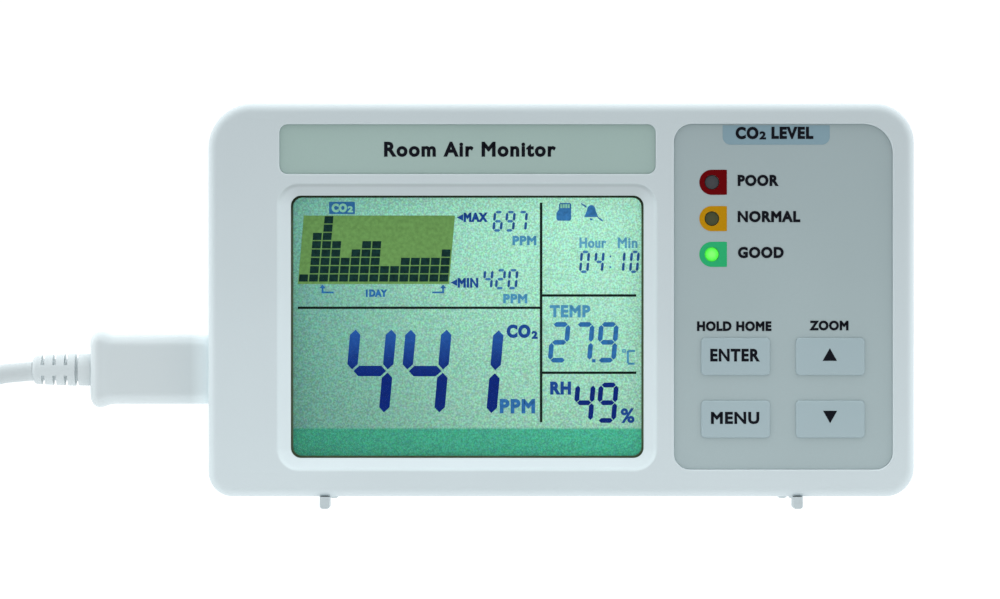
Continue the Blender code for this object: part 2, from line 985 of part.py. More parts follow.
def gas_sensor():
    """Infrared absorption sensor on its own small board, with its tube along X."""
    finish(
        block(
            "gas_sensor_board", (-27 * MM, -13.9 * MM, 29 * MM), (18 * MM, -12.7 * MM, 51 * MM)
        ),
        BOARD_GREEN,
    )
    finish(
        block(
            "gas_sensor_header", (-24 * MM, ON_BACK, 30.5 * MM), (-9 * MM, -14.2 * MM, 33 * MM)
        ),
        DARK_PLASTIC,
    )
    start, end = ((x, TUBE_Y, TUBE_Z) for x in TUBE_ENDS)
    way = rod(
        "cut_gas_tube",
        2.8 * MM,
        (start[0] - MM, TUBE_Y, TUBE_Z),
        (end[0] + MM, TUBE_Y, TUBE_Z),
        CUTTERS,
    )
    window = block(
        "cut_gas_window",
        (-13 * MM, -7 * MM, TUBE_Z - 1.2 * MM),
        (3 * MM, -3 * MM, TUBE_Z + 1.2 * MM),
        CUTTERS,
    )
    finish(cut(rod("gas_sensor_tube", 3.8 * MM, start, end), way, window), GOLD)
    finish(
        rod(
            "gas_sensor_lamp",
            2.4 * MM,
            (start[0] - 5 * MM, TUBE_Y, TUBE_Z),
            (start[0] + 3 * MM, TUBE_Y, TUBE_Z),
            sides=16,
        ),
        CLEAR,
    )
    finish(
        rod(
            "gas_sensor_detector",
            3.6 * MM,
            (end[0] + GAP, TUBE_Y, TUBE_Z),
            (end[0] + 5 * MM, TUBE_Y, TUBE_Z),
            sides=16,
        ),
        STEEL,
    )


def label():
    finish(
        plate(
            "rating_label",
            *shrunk(LABEL_LOW, LABEL_HIGH, GAP),
            -2.3 * MM,
            -2.1 * MM,
            corners=1.7 * MM,
        ),
        PAPER,
    )


def memory_card():
    """The card in its socket, a sleeve that is open towards +X."""
    socket = block(
        "card_socket",
        (64.5 * MM, ON_BACK, CARD_Z - 7.2 * MM),
        (78.0 * MM, -13.6 * MM, CARD_Z + 7.2 * MM),
    )
    way = block(
        "cut_card_way",
        (66 * MM, -15.7 * MM, CARD_Z - CARD_HALF - GAP),
        (79 * MM, -14.1 * MM, CARD_Z + CARD_HALF + GAP),
        CUTTERS,
    )
    finish(cut(socket, way), STEEL)
    card = block(
        "memory_card",
        (66.7 * MM, -15.4 * MM, CARD_Z - CARD_HALF),
        (81.7 * MM, -14.4 * MM, CARD_Z + CARD_HALF),
    )
    finish(card, DARK_PLASTIC)


def foot_pad(name, pivot, front, where):
    """The part of a foot that touches the table, with rounded lower edges."""
    bm = bmesh.new()
    half = Vector((FOOT_WIDTH, FOOT_PAD, FOOT_HEIGHT)) / 2
    middle = Vector((0, front + half.y - pivot.y, half.z))
    stretch = Matrix.Translation(middle) @ Matrix.Diagonal((*half, 1))
    bmesh.ops.create_cube(bm, size=2, matrix=stretch)
    bevel(bm, edges_where(bm, lambda co: co.z < 0.1 * MM), 0.7 * MM, 3)
    mesh = bpy.data.meshes.new(name)
    bm.to_mesh(mesh)
    bm.free()
    smooth(mesh)
    return add(name, mesh, where, pivot)


def foot(name, side):
    """A thin bar with a pad at each end, which swivels about its neck. The neck's
    flange is trapped between the two shells."""
    pivot = Vector((side * FOOT_X, CASE_SPLIT, 0))
    pads = [
        foot_pad(name, pivot, FOOT_FRONT, PARTS),
        foot_pad(f"{name}_rear_pad", pivot, FOOT_BACK - FOOT_PAD, CUTTERS),
    ]
    bar = block(
        f"{name}_bar",
        (pivot.x - FOOT_BAR_WIDTH / 2, FOOT_FRONT + MM, FOOT_BAR_LOW),
        (pivot.x + FOOT_BAR_WIDTH / 2, FOOT_BACK - MM, FOOT_BAR_HIGH),
        CUTTERS,
    )
    neck = rod(
        f"{name}_neck",
        FOOT_NECK,
        (*pivot.xy, FOOT_BAR_HIGH - 0.4 * MM),
        (*pivot.xy, FOOT_FLANGE_LOW + 0.4 * MM),
        CUTTERS,
        sides=16,
    )
    flange = rod(
        f"{name}_flange",
        FOOT_FLANGE,
        (*pivot.xy, FOOT_FLANGE_LOW),
        (*pivot.xy, FOOT_FLANGE_HIGH),
        CUTTERS,
        sides=16,
    )
    finish(join(pads[0], pads[1], bar, neck, flange), WHITE_PLASTIC)


def power_socket():
    socket = block(
        "power_socket",
        (-81.2 * MM, ON_BACK, PLUG_Z - 4.5 * MM),
        (-72 * MM, -11.8 * MM, PLUG_Z + 4.5 * MM),
    )
    way = block(
        "cut_power_socket",
        (-82 * MM, -15.8 * MM, PLUG_Z - 4.1 * MM),
        (-73 * MM, -12.2 * MM, PLUG_Z + 4.1 * MM),
        CUTTERS,
    )
    tongue = block(
        "power_socket_tongue",
        (-79.5 * MM, -14.3 * MM, PLUG_Z - 2.5 * MM),
        (-72.5 * MM, -13.7 * MM, PLUG_Z + 2.5 * MM),
        CUTTERS,
    )
    cut(socket, way)
    finish(join(socket, tongue), STEEL)


def shell_tube(name, low, high, wall, depth):
    """A rectangular metal plug shell, open at its +X end."""
    shell = block(name, low, high)
    way = block(
        f"cut_{name}",
        (high[0] - depth, low[1] + wall, low[2] + wall),
        (high[0] + MM, high[1] - wall, high[2] - wall),
        CUTTERS,
    )
    return finish(cut(shell, way), STEEL)


def plug_sections():
    """Plug moulding from the case outwards: (X, half height, half thickness, radius)."""
    return (
        (-82.45, 8.15, 4.25, 2.0),
        (-105.4, 8.15, 4.25, 2.0),
        (-106.95, 8.6, 4.6, 2.3),
        (-108.5, 8.95, 4.8, 2.5),
        (-109.9, 8.3, 4.3, 2.5),
        (-110.5, 7.1, 3.2, 2.4),
    )


def power_plug():
    rings = []
    for x, half_height, half_thickness, radius in plug_sections():
        low = (PLUG_Y - half_thickness * MM, PLUG_Z - half_height * MM)
        high = (PLUG_Y + half_thickness * MM, PLUG_Z + half_height * MM)
        ring = rounded_ring(low, high, radius * MM, steps=3)
        rings.append([(x * MM, y, z) for y, z in ring])
    finish(loft("power_plug", rings, PARTS), LEAD_PLASTIC)
    shell_tube(
        "power_plug_shell",
        (-82.15 * MM, -15.5 * MM, PLUG_Z - 3.8 * MM),
        (-75.2 * MM, -12.5 * MM, PLUG_Z + 3.8 * MM),
        0.4 * MM,
        5.5 * MM,
    )


def strain_relief():
    """A sleeve with four grooves, from the plug's back along -X."""
    profile = [(0, 13.3), (3.2, 13.3)]
    for groove in (11.0, 8.6, 6.2, 3.4):
        radius = 3.25 + 0.3 * (13.3 - groove) / 13.3
        profile += [
            (radius, groove + 0.5),
            (2.6, groove + 0.5),
            (2.6, groove - 0.5),
            (radius, groove - 0.5),
        ]
    profile += [(3.55, 0), (0, 0)]
    points = [(radius * MM, height * MM) for radius, height in profile]
    sleeve = turned(
        "strain_relief", points, (-110.8 * MM, PLUG_Y, PLUG_Z - 0.2 * MM), (-1, 0, 0)
    )
    finish(sleeve, LEAD_PLASTIC)


def tie_frame(prefix, where, half_width, outward, inward):
    """A square band round one side of the coil's section. The outside is moved out
    and the inside drawn in by the two margins."""
    centre = COIL_CENTRE + Vector((COIL_MIDDLE, 0, (COIL_LOW + COIL_HIGH) / 2))
    half_x = COIL_HALF - TIE_SINK
    half_z = (COIL_HIGH - COIL_LOW) / 2 - TIE_SINK
    way_margin = -inward
    band_margin = TIE_THICKNESS + outward
    way_half = Vector((half_x + way_margin, half_width + MM, half_z + way_margin))
    band_half = Vector((half_x + band_margin, half_width, half_z + band_margin))
    band = block(prefix, centre - band_half, centre + band_half, where)
    way = block(f"{prefix}_way", centre - way_half, centre + way_half, CUTTERS)
    return cut(band, way)


def lead():
    finish(tube("lead_cord", smooth_route(LEAD_ROUTE, 10 * MM), LEAD_RADIUS), LEAD_PLASTIC)
    finish(tube("lead_tail", smooth_route(TAIL_ROUTE, 8 * MM), LEAD_RADIUS), LEAD_PLASTIC)
    inner, outer = COIL_MIDDLE - COIL_HALF, COIL_MIDDLE + COIL_HALF
    profile = (
        (inner, COIL_HIGH - COIL_CHAMFER),
        (inner + COIL_CHAMFER, COIL_HIGH),
        (outer - COIL_CHAMFER, COIL_HIGH),
        (outer, COIL_HIGH - COIL_CHAMFER),
        (outer, COIL_LOW + COIL_CHAMFER),
        (outer - COIL_CHAMFER, COIL_LOW),
        (inner + COIL_CHAMFER, COIL_LOW),
        (inner, COIL_LOW + COIL_CHAMFER),
        (inner, COIL_HIGH - COIL_CHAMFER),
    )
    coil = turned("lead_coil", profile, COIL_CENTRE, (0, 0, 1), sides=32)
    cut(coil, tie_frame("tie_groove", CUTTERS, TIE_HALF_WIDTH + GAP, MM, GAP))
    finish(coil, LEAD_PLASTIC)
    finish(tie_frame("coil_tie", PARTS, TIE_HALF_WIDTH, -0.1 * MM, 0), DARK_PLASTIC)


def far_plug():
    """The plug at the lead's far end, lying on the coil and pointing along +X."""
    body = block(
        "far_plug",
        (-185 * MM, FAR_PLUG_Y - 8 * MM, FAR_PLUG_Z - 4 * MM),
        (-163 * MM, FAR_PLUG_Y + 8 * MM, FAR_PLUG_Z + 4 * MM),
        corners=1.5 * MM,
        steps=2,
        front_edge=1.2 * MM,
        back_edge=1.2 * MM,
    )
    boot_profile = [(0, 10.5), (3.4, 10.5), (2.8, 0), (0, 0)]
    boot = turned(
        "far_plug_boot",
        [(radius * MM, height * MM) for radius, height in boot_profile],
        (-194.8 * MM, FAR_PLUG_Y, FAR_PLUG_Z),
        (1, 0, 0),
        CUTTERS,
        sides=16,
    )
    finish(join(body, boot), LEAD_PLASTIC)
    shell_tube(
        "far_plug_shell",
        (-162.7 * MM, FAR_PLUG_Y - 6 * MM, FAR_PLUG_Z - 2.25 * MM),
        (-151 * MM, FAR_PLUG_Y + 6 * MM, FAR_PLUG_Z + 2.25 * MM),
        0.5 * MM,
        8 * MM,
    )


front_case()
rear_cover()
front_fittings()
display()
keys()
switches()
lamps()
main_board()
screws()
board_fittings()
gas_sensor()
label()
memory_card()
foot("foot_left", -1)
foot("foot_right", 1)
power_socket()
power_plug()
strain_relief()
lead()
far_plug()
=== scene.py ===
"""Looks of the carbon dioxide monitor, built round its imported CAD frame.

Metres, +Z up. The front faces -Y, X is centred on the case and the feet stand on
Z = 0. Printed matter is laid out in millimetres and scaled by MM where it is made.
"""

import math

import bmesh
import bpy
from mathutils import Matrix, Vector


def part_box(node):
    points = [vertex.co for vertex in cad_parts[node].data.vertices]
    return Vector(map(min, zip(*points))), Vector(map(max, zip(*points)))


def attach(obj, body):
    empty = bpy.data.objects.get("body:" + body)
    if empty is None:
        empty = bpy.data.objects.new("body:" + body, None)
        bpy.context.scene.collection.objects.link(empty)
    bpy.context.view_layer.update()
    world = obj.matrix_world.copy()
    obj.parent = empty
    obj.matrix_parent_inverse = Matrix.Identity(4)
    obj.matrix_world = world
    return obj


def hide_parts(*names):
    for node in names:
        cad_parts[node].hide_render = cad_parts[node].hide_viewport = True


MM = 0.001
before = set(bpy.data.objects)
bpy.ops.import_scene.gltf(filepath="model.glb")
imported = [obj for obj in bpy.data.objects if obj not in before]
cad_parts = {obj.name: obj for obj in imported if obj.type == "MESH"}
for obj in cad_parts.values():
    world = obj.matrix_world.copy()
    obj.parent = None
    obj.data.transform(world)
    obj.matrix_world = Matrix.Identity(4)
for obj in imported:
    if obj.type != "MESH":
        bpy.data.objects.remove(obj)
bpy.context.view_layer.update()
scene = bpy.context.scene

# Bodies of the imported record
MONITOR = "monitor"
POWER_LEAD = "power_lead"
CARD = "card"

# Camera and view
CAMERA_AT = Vector((-14.25, -928, 48.7)) * MM
VIEW_WIDTH = 232.3 * MM  # width of the view at the case's front face
SENSOR_WIDTH = 36.0

# Case
CASE_LOW, CASE_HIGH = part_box("front_case")
REAR_LOW, REAR_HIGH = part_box("rear_cover")
SPLIT_FRONT = CASE_HIGH.y
SPLIT = SPLIT_FRONT + 0.15 * MM
CASE_FRONT = CASE_LOW.y
CASE_BACK = REAR_HIGH.y
CASE_RADII = (10.3 * MM, 9.2 * MM, 6.7 * MM, 5.7 * MM)
CASE_EDGE = 2.4 * MM
SEAM_EDGE = 0.25 * MM
WALL = 2.2 * MM
FRONT_INSIDE = -25.3 * MM
BACK_INSIDE = -4.2 * MM
LIP_INSET = 2.5 * MM
LIP_WALL = 1.2 * MM
LEDGE_BACK = -12.5 * MM

# Front of the case
DISH_LOW = (-66.2 * MM, 8.8 * MM)
DISH_HIGH = (22.3 * MM, 75.8 * MM)
DISH_RADIUS = 5.3 * MM
DISH_FLOOR = -26.4 * MM
# The dish from its rim to the window: (share of the way in, share of the depth)
DISH_PROFILE = (
    (-0.10, 0.0),
    (-0.03, 0.02),
    (0.03, 0.07),
    (0.10, 0.18),
    (0.20, 0.36),
    (0.28, 0.47),
    (0.38, 0.55),
    (0.60, 0.71),
    (1.0, 1.0),
)
WINDOW_RADIUS = 2.0 * MM
WINDOW_MARGIN = 0.4 * MM
RECESS_FLOOR = -26.7 * MM
RECESS_LIP = 0.45 * MM
GAP = 0.3 * MM
FILM_GROWTH = 0.29 * MM  # the printed films nearly fill their recesses
FILM_EDGE = 0.12 * MM
NAME_RADII = (1.9 * MM,) * 4
PANEL_RADII = (4.2 * MM, 6.8 * MM, 4.0 * MM, 3.7 * MM)
KEY_RADII = (0.9 * MM,) * 4
KEY_FLANGE = 0.9 * MM
KEY_FLANGE_DEPTH = 0.8 * MM
KEY_EDGE = 0.4 * MM
KEY_GAP = 0.01 * MM
LED_X = 35.0 * MM
LED_HOLE = 1.7 * MM
LENS_TOP = -27.3 * MM
LAMPS = {"poor": 75.95 * MM, "normal": 67.5 * MM, "good": 59.2 * MM}
KEYS = ("enter", "menu", "up", "down")

# Back of the case
KEYHOLE_X = 50 * MM
KEYHOLE_Z = 70 * MM
KEYHOLE_RADIUS = 4 * MM
KEYHOLE_NECK = 4.2 * MM
KEYHOLE_RISE = 7 * MM
CASE_SCREWS = ((-75, 11.8), (75, 11.8), (-75, 85.6), (75, 85.6))
BOARD_SCREWS = ((-72.6, 50), (28.4, 50), (72.6, 44), (-20, 85.2))
SOUNDER = Vector((40, 26)) * MM
SOUNDER_RING = 3.6 * MM

# Feet, card slot and power plug
FOOT_PIVOT_Y = -14 * MM
FOOT_X = 55 * MM
FOOT_PAD = 5.8 * MM
# A foot pad from end to end: (distance in millimetres, share of the full section)
FOOT_SECTIONS = ((0, 0.75), (0.2, 0.9), (0.6, 1.0), (5.2, 1.0), (5.6, 0.9), (5.8, 0.75))
FOOT_TOP = 2.82 * MM
FOOT_BRIDGE = 2.0 * MM  # underside of the bar between the pads
FOOT_HALF_WIDTH = 1.17 * MM
FOOT_ROUNDING = 0.7 * MM
CARD_Z = 60 * MM
PLUG_AXIS = Vector((-14, 32.25)) * MM
RELIEF_START = -110.8 * MM
RELIEF_DROP = 0.12 * MM

# Near plug, from the case outwards: (X, half height, half thickness, corner radius)
PLUG_SECTIONS = (
    (-82.45, 7.75, 3.6, 2.6),
    (-83.0, 8.1, 4.05, 3.0),
    (-84.5, 8.15, 4.25, 3.1),
    (-96, 8.15, 4.25, 3.1),
    (-104.9, 8.15, 4.25, 3.1),
    (-106.2, 8.35, 4.4, 3.1),
    (-107.4, 8.75, 4.65, 3.1),
    (-108.4, 8.95, 4.8, 3.1),
    (-109.3, 8.75, 4.6, 3.0),
    (-110.0, 8.2, 4.2, 2.8),
    (-110.5, 7.3, 3.4, 2.4),
)
# Far plug, from its boot to its face: (X, half width, half height, corner radius)
END_PLUG_SECTIONS = (
    (-194.8, 2.6, 2.6, 2.5),
    (-194.4, 2.9, 2.9, 2.8),
    (-186.0, 3.3, 3.3, 3.2),
    (-185.2, 4.4, 3.3, 2.2),
    (-184.8, 6.8, 3.7, 2.2),
    (-183.6, 7.8, 4.0, 2.2),
    (-182.0, 8.0, 4.0, 2.0),
    (-164.0, 8.0, 4.0, 2.0),
    (-163.2, 7.7, 3.8, 1.9),
    (-163.0, 7.3, 3.4, 1.6),
)
END_PLUG_Z = 18.1 * MM

# Power lead
LEAD_DIAMETER = 4.5 * MM
LEAD_ROUTE = (
    (-124.4, -14, 31.8),
    (-128, -14, 31.5),
    (-132, -14, 31.0),
    (-138, -14, 29.0),
    (-144, -14, 25.2),
    (-150, -14, 20.1),
    (-156, -14, 14.6),
    (-162, -14, 9.7),
    (-169.5, -14, 5.1),
    (-174, -14, 3.4),
    (-180, -14, 2.6),
)
TAIL_ROUTE = (
    (-193.5, -13.0, 12.0),
    (-200.5, -10.1, 13.2),
    (-206.5, -5.5, 14.8),
    (-211.1, 0.5, 16.5),
    (-213.0, 4.9, 16.7),
    (-213.6, 9.75, 16.9),
    (-213.0, 14.6, 17.1),
    (-211.1, 19.0, 17.3),
    (-208.2, 22.9, 17.5),
    (-204.4, 25.75, 17.7),
    (-199.9, 27.6, 17.9),
    (-195.1, 28.25, 18.1),
)
COIL_CENTRE = Vector((-186, 15, 7)) * MM
COIL_RADIUS = 24.4 * MM
STRAND_PITCH = 4.6 * MM
# Cell of the bundle that each turn lies in: steps outwards, steps upwards
COIL_CELLS = ((1, -1), (0, -1), (-1, -1), (-1, 0), (-1, 1), (0, 1), (0, 0), (1, 0), (1, 1))
POINTS_PER_TURN = 24
CROSSING_HALF = 50 / 360  # half of the stretch in which a strand changes its cell
CROSSING_STAGGER = 12 / 360
TIE_SQUEEZE = 0.1

# Display
GLASS_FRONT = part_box("lcd_glass")[0].y
INK_LIFT = 0.03 * MM
BAR_HEIGHTS = (1, 6, 8, 5, 3, 4, 5, 5, 2, 2, 3, 3, 3, 3, 4)
# Segments of a digit between corner points: left or right, then bottom, middle or top
SEGMENTS = {
    "a": ("l2", "r2"),
    "b": ("r1", "r2"),
    "c": ("r0", "r1"),
    "d": ("l0", "r0"),
    "e": ("l0", "l1"),
    "f": ("l1", "l2"),
    "g": ("l1", "r1"),
}
DIGITS = {
    "0": "abcdef",
    "1": "bc",
    "2": "abdeg",
    "4": "bcfg",
    "6": "acdefg",
    "7": "abc",
    "9": "abcdfg",
}
UPRIGHT = "bcef"
LEVEL = "adg"
# Strokes of the small figures, in millimetres
SMALL_WIDTH = 0.6
SMALL_GAP = 0.12
SMALL_LEAN = 0.085

# Tones that multiply a material's colour: painted light and shade, and the cord's own darker tone
PAINTED_GRADIENT = 0.07  # how much painted light and shade change the case's tone from its top to its bottom
DISH_DOWN_SHADE = (0.68, 1.05)  # painted shade, from the slopes that look down most to those that hardly do
DISH_UP_LIGHT = (1.0, 1.16)  # painted light, from there to those that look up
DISH_EDGE = (0.6 * MM, -0.8 * MM)  # those tones fade in from outside the rim to inside it
DISH_SUNK = (0.02 * MM, 0.25 * MM)  # and between these depths below the case's face
# painted highlight on rounded edges outside the dish
EDGE_HIGHLIGHT = 1.05
SHADED_HEIGHTS = (66 * MM, 72 * MM)  # the gasket darkens from the first to the second
SHADED_TONE = 0.3
# painted highlight on the near plug's rounded edges, and painted light at its end against the case
PLUG_EDGE_HIGHLIGHT = 1.1
PLUG_END_LIGHT = 1.34
CORD_TONE = 0.91

# Light: strength of the sky and glow of the floor
SKY_COLOUR = (0.955, 0.985, 1.0, 1)
SKY_AHEAD = 0.1
SKY_AROUND = 1.07
SKY_ABOVE = 1.18
SKY_SIDES = 0.85
FLOOR_NEAR = 1.05
FLOOR_FAR = 0.3

# Facets of a rounded corner and of a rounded edge
CORNER_STEPS = 10
LIP_STEPS = 5
BEYOND = 1 * MM  # how far a cutter passes the face that it cuts


# ---------------------------------------------------------------- camera


def make_camera():
    data = bpy.data.cameras.new("camera")
    data.sensor_width = SENSOR_WIDTH
    data.lens = SENSOR_WIDTH * (CASE_FRONT - CAMERA_AT.y) / VIEW_WIDTH
    data.clip_start = 0.01
    data.clip_end = 20
    camera = bpy.data.objects.new("camera", data)
    camera.location = CAMERA_AT
    camera.rotation_euler = (math.radians(90), 0, 0)
    scene.collection.objects.link(camera)
    scene.camera = camera
    scene.view_settings.view_transform = "Standard"


# ------------------------------------------------------------- materials


def colour(red, green, blue):
    """A display colour, 0 to 255, as linear RGBA."""
    linear = []
    for value in (red, green, blue):
        share = value / 255
        linear.append(share / 12.92 if share <= 0.04045 else ((share + 0.055) / 1.055) ** 2.4)
    return (*linear, 1)


def scaled(rgba, by):
    return (*(min(1, channel * by) for channel in rgba[:3]), 1)


def node(tree, kind, **inputs):
    """A new shader node. Inputs are values, or sockets to link from."""
    made = tree.nodes.new(kind)
    for name, value in inputs.items():
        socket = made.inputs[name.replace("_", " ")]
        if isinstance(value, bpy.types.NodeSocket):
            tree.links.new(value, socket)
        else:
            socket.default_value = value
    return made


def noise(tree, where, size, detail=2.0):
    """Noise whose features are about that size, in metres."""
    return node(tree, "ShaderNodeTexNoise", Vector=where, Scale=1 / size, Detail=detail)


def ramp(tree, value, low, high, to_low=0.0, to_high=1.0, soft=False):
    """A number that runs from one value to another as a socket goes from low to high."""
    made = node(tree, "ShaderNodeMapRange", Value=value)
    if soft:
        made.interpolation_type = "SMOOTHSTEP"
    for name, number in (
        ("From Min", low),
        ("From Max", high),
        ("To Min", to_low),
        ("To Max", to_high),
    ):
        made.inputs[name].default_value = number
    return made.outputs["Result"]


def mixed(tree, factor, first, second, blend="MIX"):
    made = tree.nodes.new("ShaderNodeMix")
    made.data_type = "RGBA"
    made.blend_type = blend
    sockets = (made.inputs[0], made.inputs[6], made.inputs[7])
    for socket, value in zip(sockets, (factor, first, second)):
        if isinstance(value, bpy.types.NodeSocket):
            tree.links.new(value, socket)
        else:
            socket.default_value = value
    return made.outputs[2]


def component(tree, vector, letter):
    return node(tree, "ShaderNodeSeparateXYZ", Vector=vector).outputs[letter]


def offset_from(tree, where, centre):
    made = node(tree, "ShaderNodeVectorMath", Vector=where)
    made.operation = "SUBTRACT"
    made.inputs[1].default_value = centre
    return made.outputs["Vector"]


def combined(tree, operation, first, second):
    """Two number sockets put together by ADD or MULTIPLY."""
    made = tree.nodes.new("ShaderNodeMath")
    made.operation = operation
    for socket, value in zip(made.inputs, (first, second)):
        tree.links.new(value, socket)
    return made.outputs["Value"]


def toned(tree, tone, factor):
    """The tone multiplied by a number socket."""
    grey = node(tree, "ShaderNodeCombineColor", Red=factor, Green=factor, Blue=factor)
    return mixed(tree, 1.0, tone, grey.outputs["Color"], "MULTIPLY")


def new_material(name, roughness, metallic=0.0, specular=0.5):
    """A Principled material, its tree, its shader and the row frame's coordinates."""
    material = bpy.data.materials.new(name)
    material.use_nodes = True
    tree = material.node_tree
    shader = tree.nodes["Principled BSDF"]
    shader.inputs["Roughness"].default_value = roughness
    shader.inputs["Metallic"].default_value = metallic
    shader.inputs["Specular IOR Level"].default_value = specular
    where = tree.nodes.new("ShaderNodeTexCoord").outputs["Object"]
    return material, tree, shader, where


def painted(tree, shader, tone, glow=0.0):
    """Gives the surface its tone, and a glow of the same tone."""
    tree.links.new(tone, shader.inputs["Base Color"])
    if glow:
        tree.links.new(tone, shader.inputs["Emission Color"])
        shader.inputs["Emission Strength"].default_value = glow


def bumped(tree, shader, height, strength, distance=0.05 * MM):
    bump = node(tree, "ShaderNodeBump", Strength=strength, Distance=distance, Height=height)
    tree.links.new(bump.outputs["Normal"], shader.inputs["Normal"])


def painted_light_gradient(tree, where, tone):
    """Paler towards the bottom left of the case and darker towards its top right: painted light and
    painted shade.
    """
    for letter, low, high, fade in (
        ("Z", 0, CASE_HIGH.z, PAINTED_GRADIENT),
        ("X", CASE_LOW.x, CASE_HIGH.x, PAINTED_GRADIENT / 3),
    ):
        level = ramp(tree, component(tree, where, letter), low, high, 1 + fade, 1 - fade)
        tone = toned(tree, tone, level)
    return tone


def painted_dish_light(tree, where, tone):
    """Painted light and shade: paler inside the dish round the display, but painted shade where it
    looks down. Outside the dish, a painted highlight makes rounded edges a little paler."""
    low, high = Vector((DISH_LOW[0], 0, DISH_LOW[1])), Vector((DISH_HIGH[0], 0, DISH_HIGH[1]))
    half = (high - low) / 2
    reach = node(tree, "ShaderNodeVectorMath", Vector=offset_from(tree, where, (low + high) / 2))
    reach.operation = "ABSOLUTE"
    depth = component(tree, where, "Y")
    inside = combined(
        tree,
        "MULTIPLY",
        ramp(tree, depth, CASE_FRONT + DISH_SUNK[0], CASE_FRONT + DISH_SUNK[1]),
        ramp(tree, depth, FRONT_INSIDE, DISH_FLOOR),
    )
    for letter, limit in (("X", half.x), ("Z", half.z)):
        distance = component(tree, reach.outputs["Vector"], letter)
        within = ramp(tree, distance, limit + DISH_EDGE[0], limit + DISH_EDGE[1])
        inside = combined(tree, "MULTIPLY", inside, within)
    normal = tree.nodes.new("ShaderNodeTexCoord").outputs["Normal"]
    up = component(tree, normal, "Z")
    painted_slope_light = toned(tree, tone, ramp(tree, up, -0.7, -0.2, *DISH_DOWN_SHADE))
    painted_slope_light = toned(tree, painted_slope_light, ramp(tree, up, -0.2, 0.1, *DISH_UP_LIGHT))
    back = component(tree, normal, "Y")
    edges = toned(tree, tone, ramp(tree, back, -0.98, -0.8, 1.0, EDGE_HIGHLIGHT))
    return mixed(tree, inside, edges, painted_slope_light)


def plug_light_and_cord_tone(tree, where, tone):
    """Painted highlights on the near plug's rounded edges, and painted light at its end against the
    case, over the shade that the case casts there; and a little darker on the cord."""
    across = component(tree, where, "X")
    back = component(tree, tree.nodes.new("ShaderNodeTexCoord").outputs["Normal"], "Y")
    rounded = toned(tree, tone, ramp(tree, back, -0.995, -0.9, 1.0, PLUG_EDGE_HIGHLIGHT))
    on_plug = ramp(tree, across, RELIEF_START + 0.1 * MM, RELIEF_START + 0.3 * MM)
    tone = mixed(tree, on_plug, tone, rounded)
    tone = toned(tree, tone, ramp(tree, across, -126 * MM, -124 * MM, CORD_TONE, 1.0))
    return toned(tree, tone, ramp(tree, across, -87 * MM, -82.6 * MM, 1.0, PLUG_END_LIGHT))


def shaded_above(tree, where, tone):
    """Darker along the top of the display, where the dish shades it."""
    height = component(tree, where, "Z")
    return toned(tree, tone, ramp(tree, height, *SHADED_HEIGHTS, 1.0, SHADED_TONE))


def moulded(
    name,
    paint,
    roughness,
    grain=0.3 * MM,
    mottle=0.04,
    bump=0.15,
    specular=0.5,
    shades=(),
):
    """Plastic, rubber, paper or print: a broad mottle of tone, and a fine grain that
    shows in the roughness and the bump. Each shade is a function that changes the tone."""
    material, tree, shader, where = new_material(name, roughness, specular=specular)
    broad = noise(tree, where, 30 * MM).outputs["Fac"]
    fine = noise(tree, where, grain, 3.0).outputs["Fac"]
    patches = ramp(tree, broad, 0.3, 0.7)
    tone = mixed(tree, patches, scaled(paint, 1 - mottle), scaled(paint, 1 + mottle))
    specks = ramp(tree, fine, 0.35, 0.65, 0.0, 0.35)
    tone = mixed(tree, specks, tone, scaled(paint, 1 - 2 * mottle))
    for shade in shades:
        tone = shade(tree, where, tone)
    painted(tree, shader, tone)
    rough = ramp(tree, fine, 0.3, 0.7, roughness - 0.06, roughness + 0.06)
    tree.links.new(rough, shader.inputs["Roughness"])
    bumped(tree, shader, fine, bump)
    return material


def brushed(name, paint, roughness=0.3):
    """Metal with fine lines from front to back."""
    material, tree, shader, where = new_material(name, roughness, metallic=1.0)
    stretched = node(tree, "ShaderNodeMapping", Vector=where, Scale=(1, 0.02, 1))
    lines = noise(tree, stretched.outputs["Vector"], 0.15 * MM).outputs["Fac"]
    tone = mixed(tree, ramp(tree, lines, 0.3, 0.7), scaled(paint, 0.85), paint)
    painted(tree, shader, tone)
    rough = ramp(tree, lines, 0.3, 0.7, roughness - 0.08, roughness + 0.1)
    tree.links.new(rough, shader.inputs["Roughness"])
    bumped(tree, shader, lines, 0.1, 0.02 * MM)
    return material


def circuit_board(name):
    """Green solder mask over blocky copper areas."""
    material, tree, shader, where = new_material(name, 0.35)
    cells = node(tree, "ShaderNodeTexVoronoi", Vector=where, Scale=1 / (2.4 * MM))
    cells.distance = "CHEBYCHEV"
    copper = ramp(tree, cells.outputs["Distance"], 0.28, 0.34)
    green = mixed(tree, copper, (0.02, 0.16, 0.07, 1), (0.03, 0.26, 0.1, 1))
    fine = noise(tree, where, 0.4 * MM).outputs["Fac"]
    tone = mixed(tree, ramp(tree, fine, 0.4, 0.8, 0, 0.3), green, (0.02, 0.12, 0.05, 1))
    painted(tree, shader, tone)
    bumped(tree, shader, copper, 0.2)
    return material


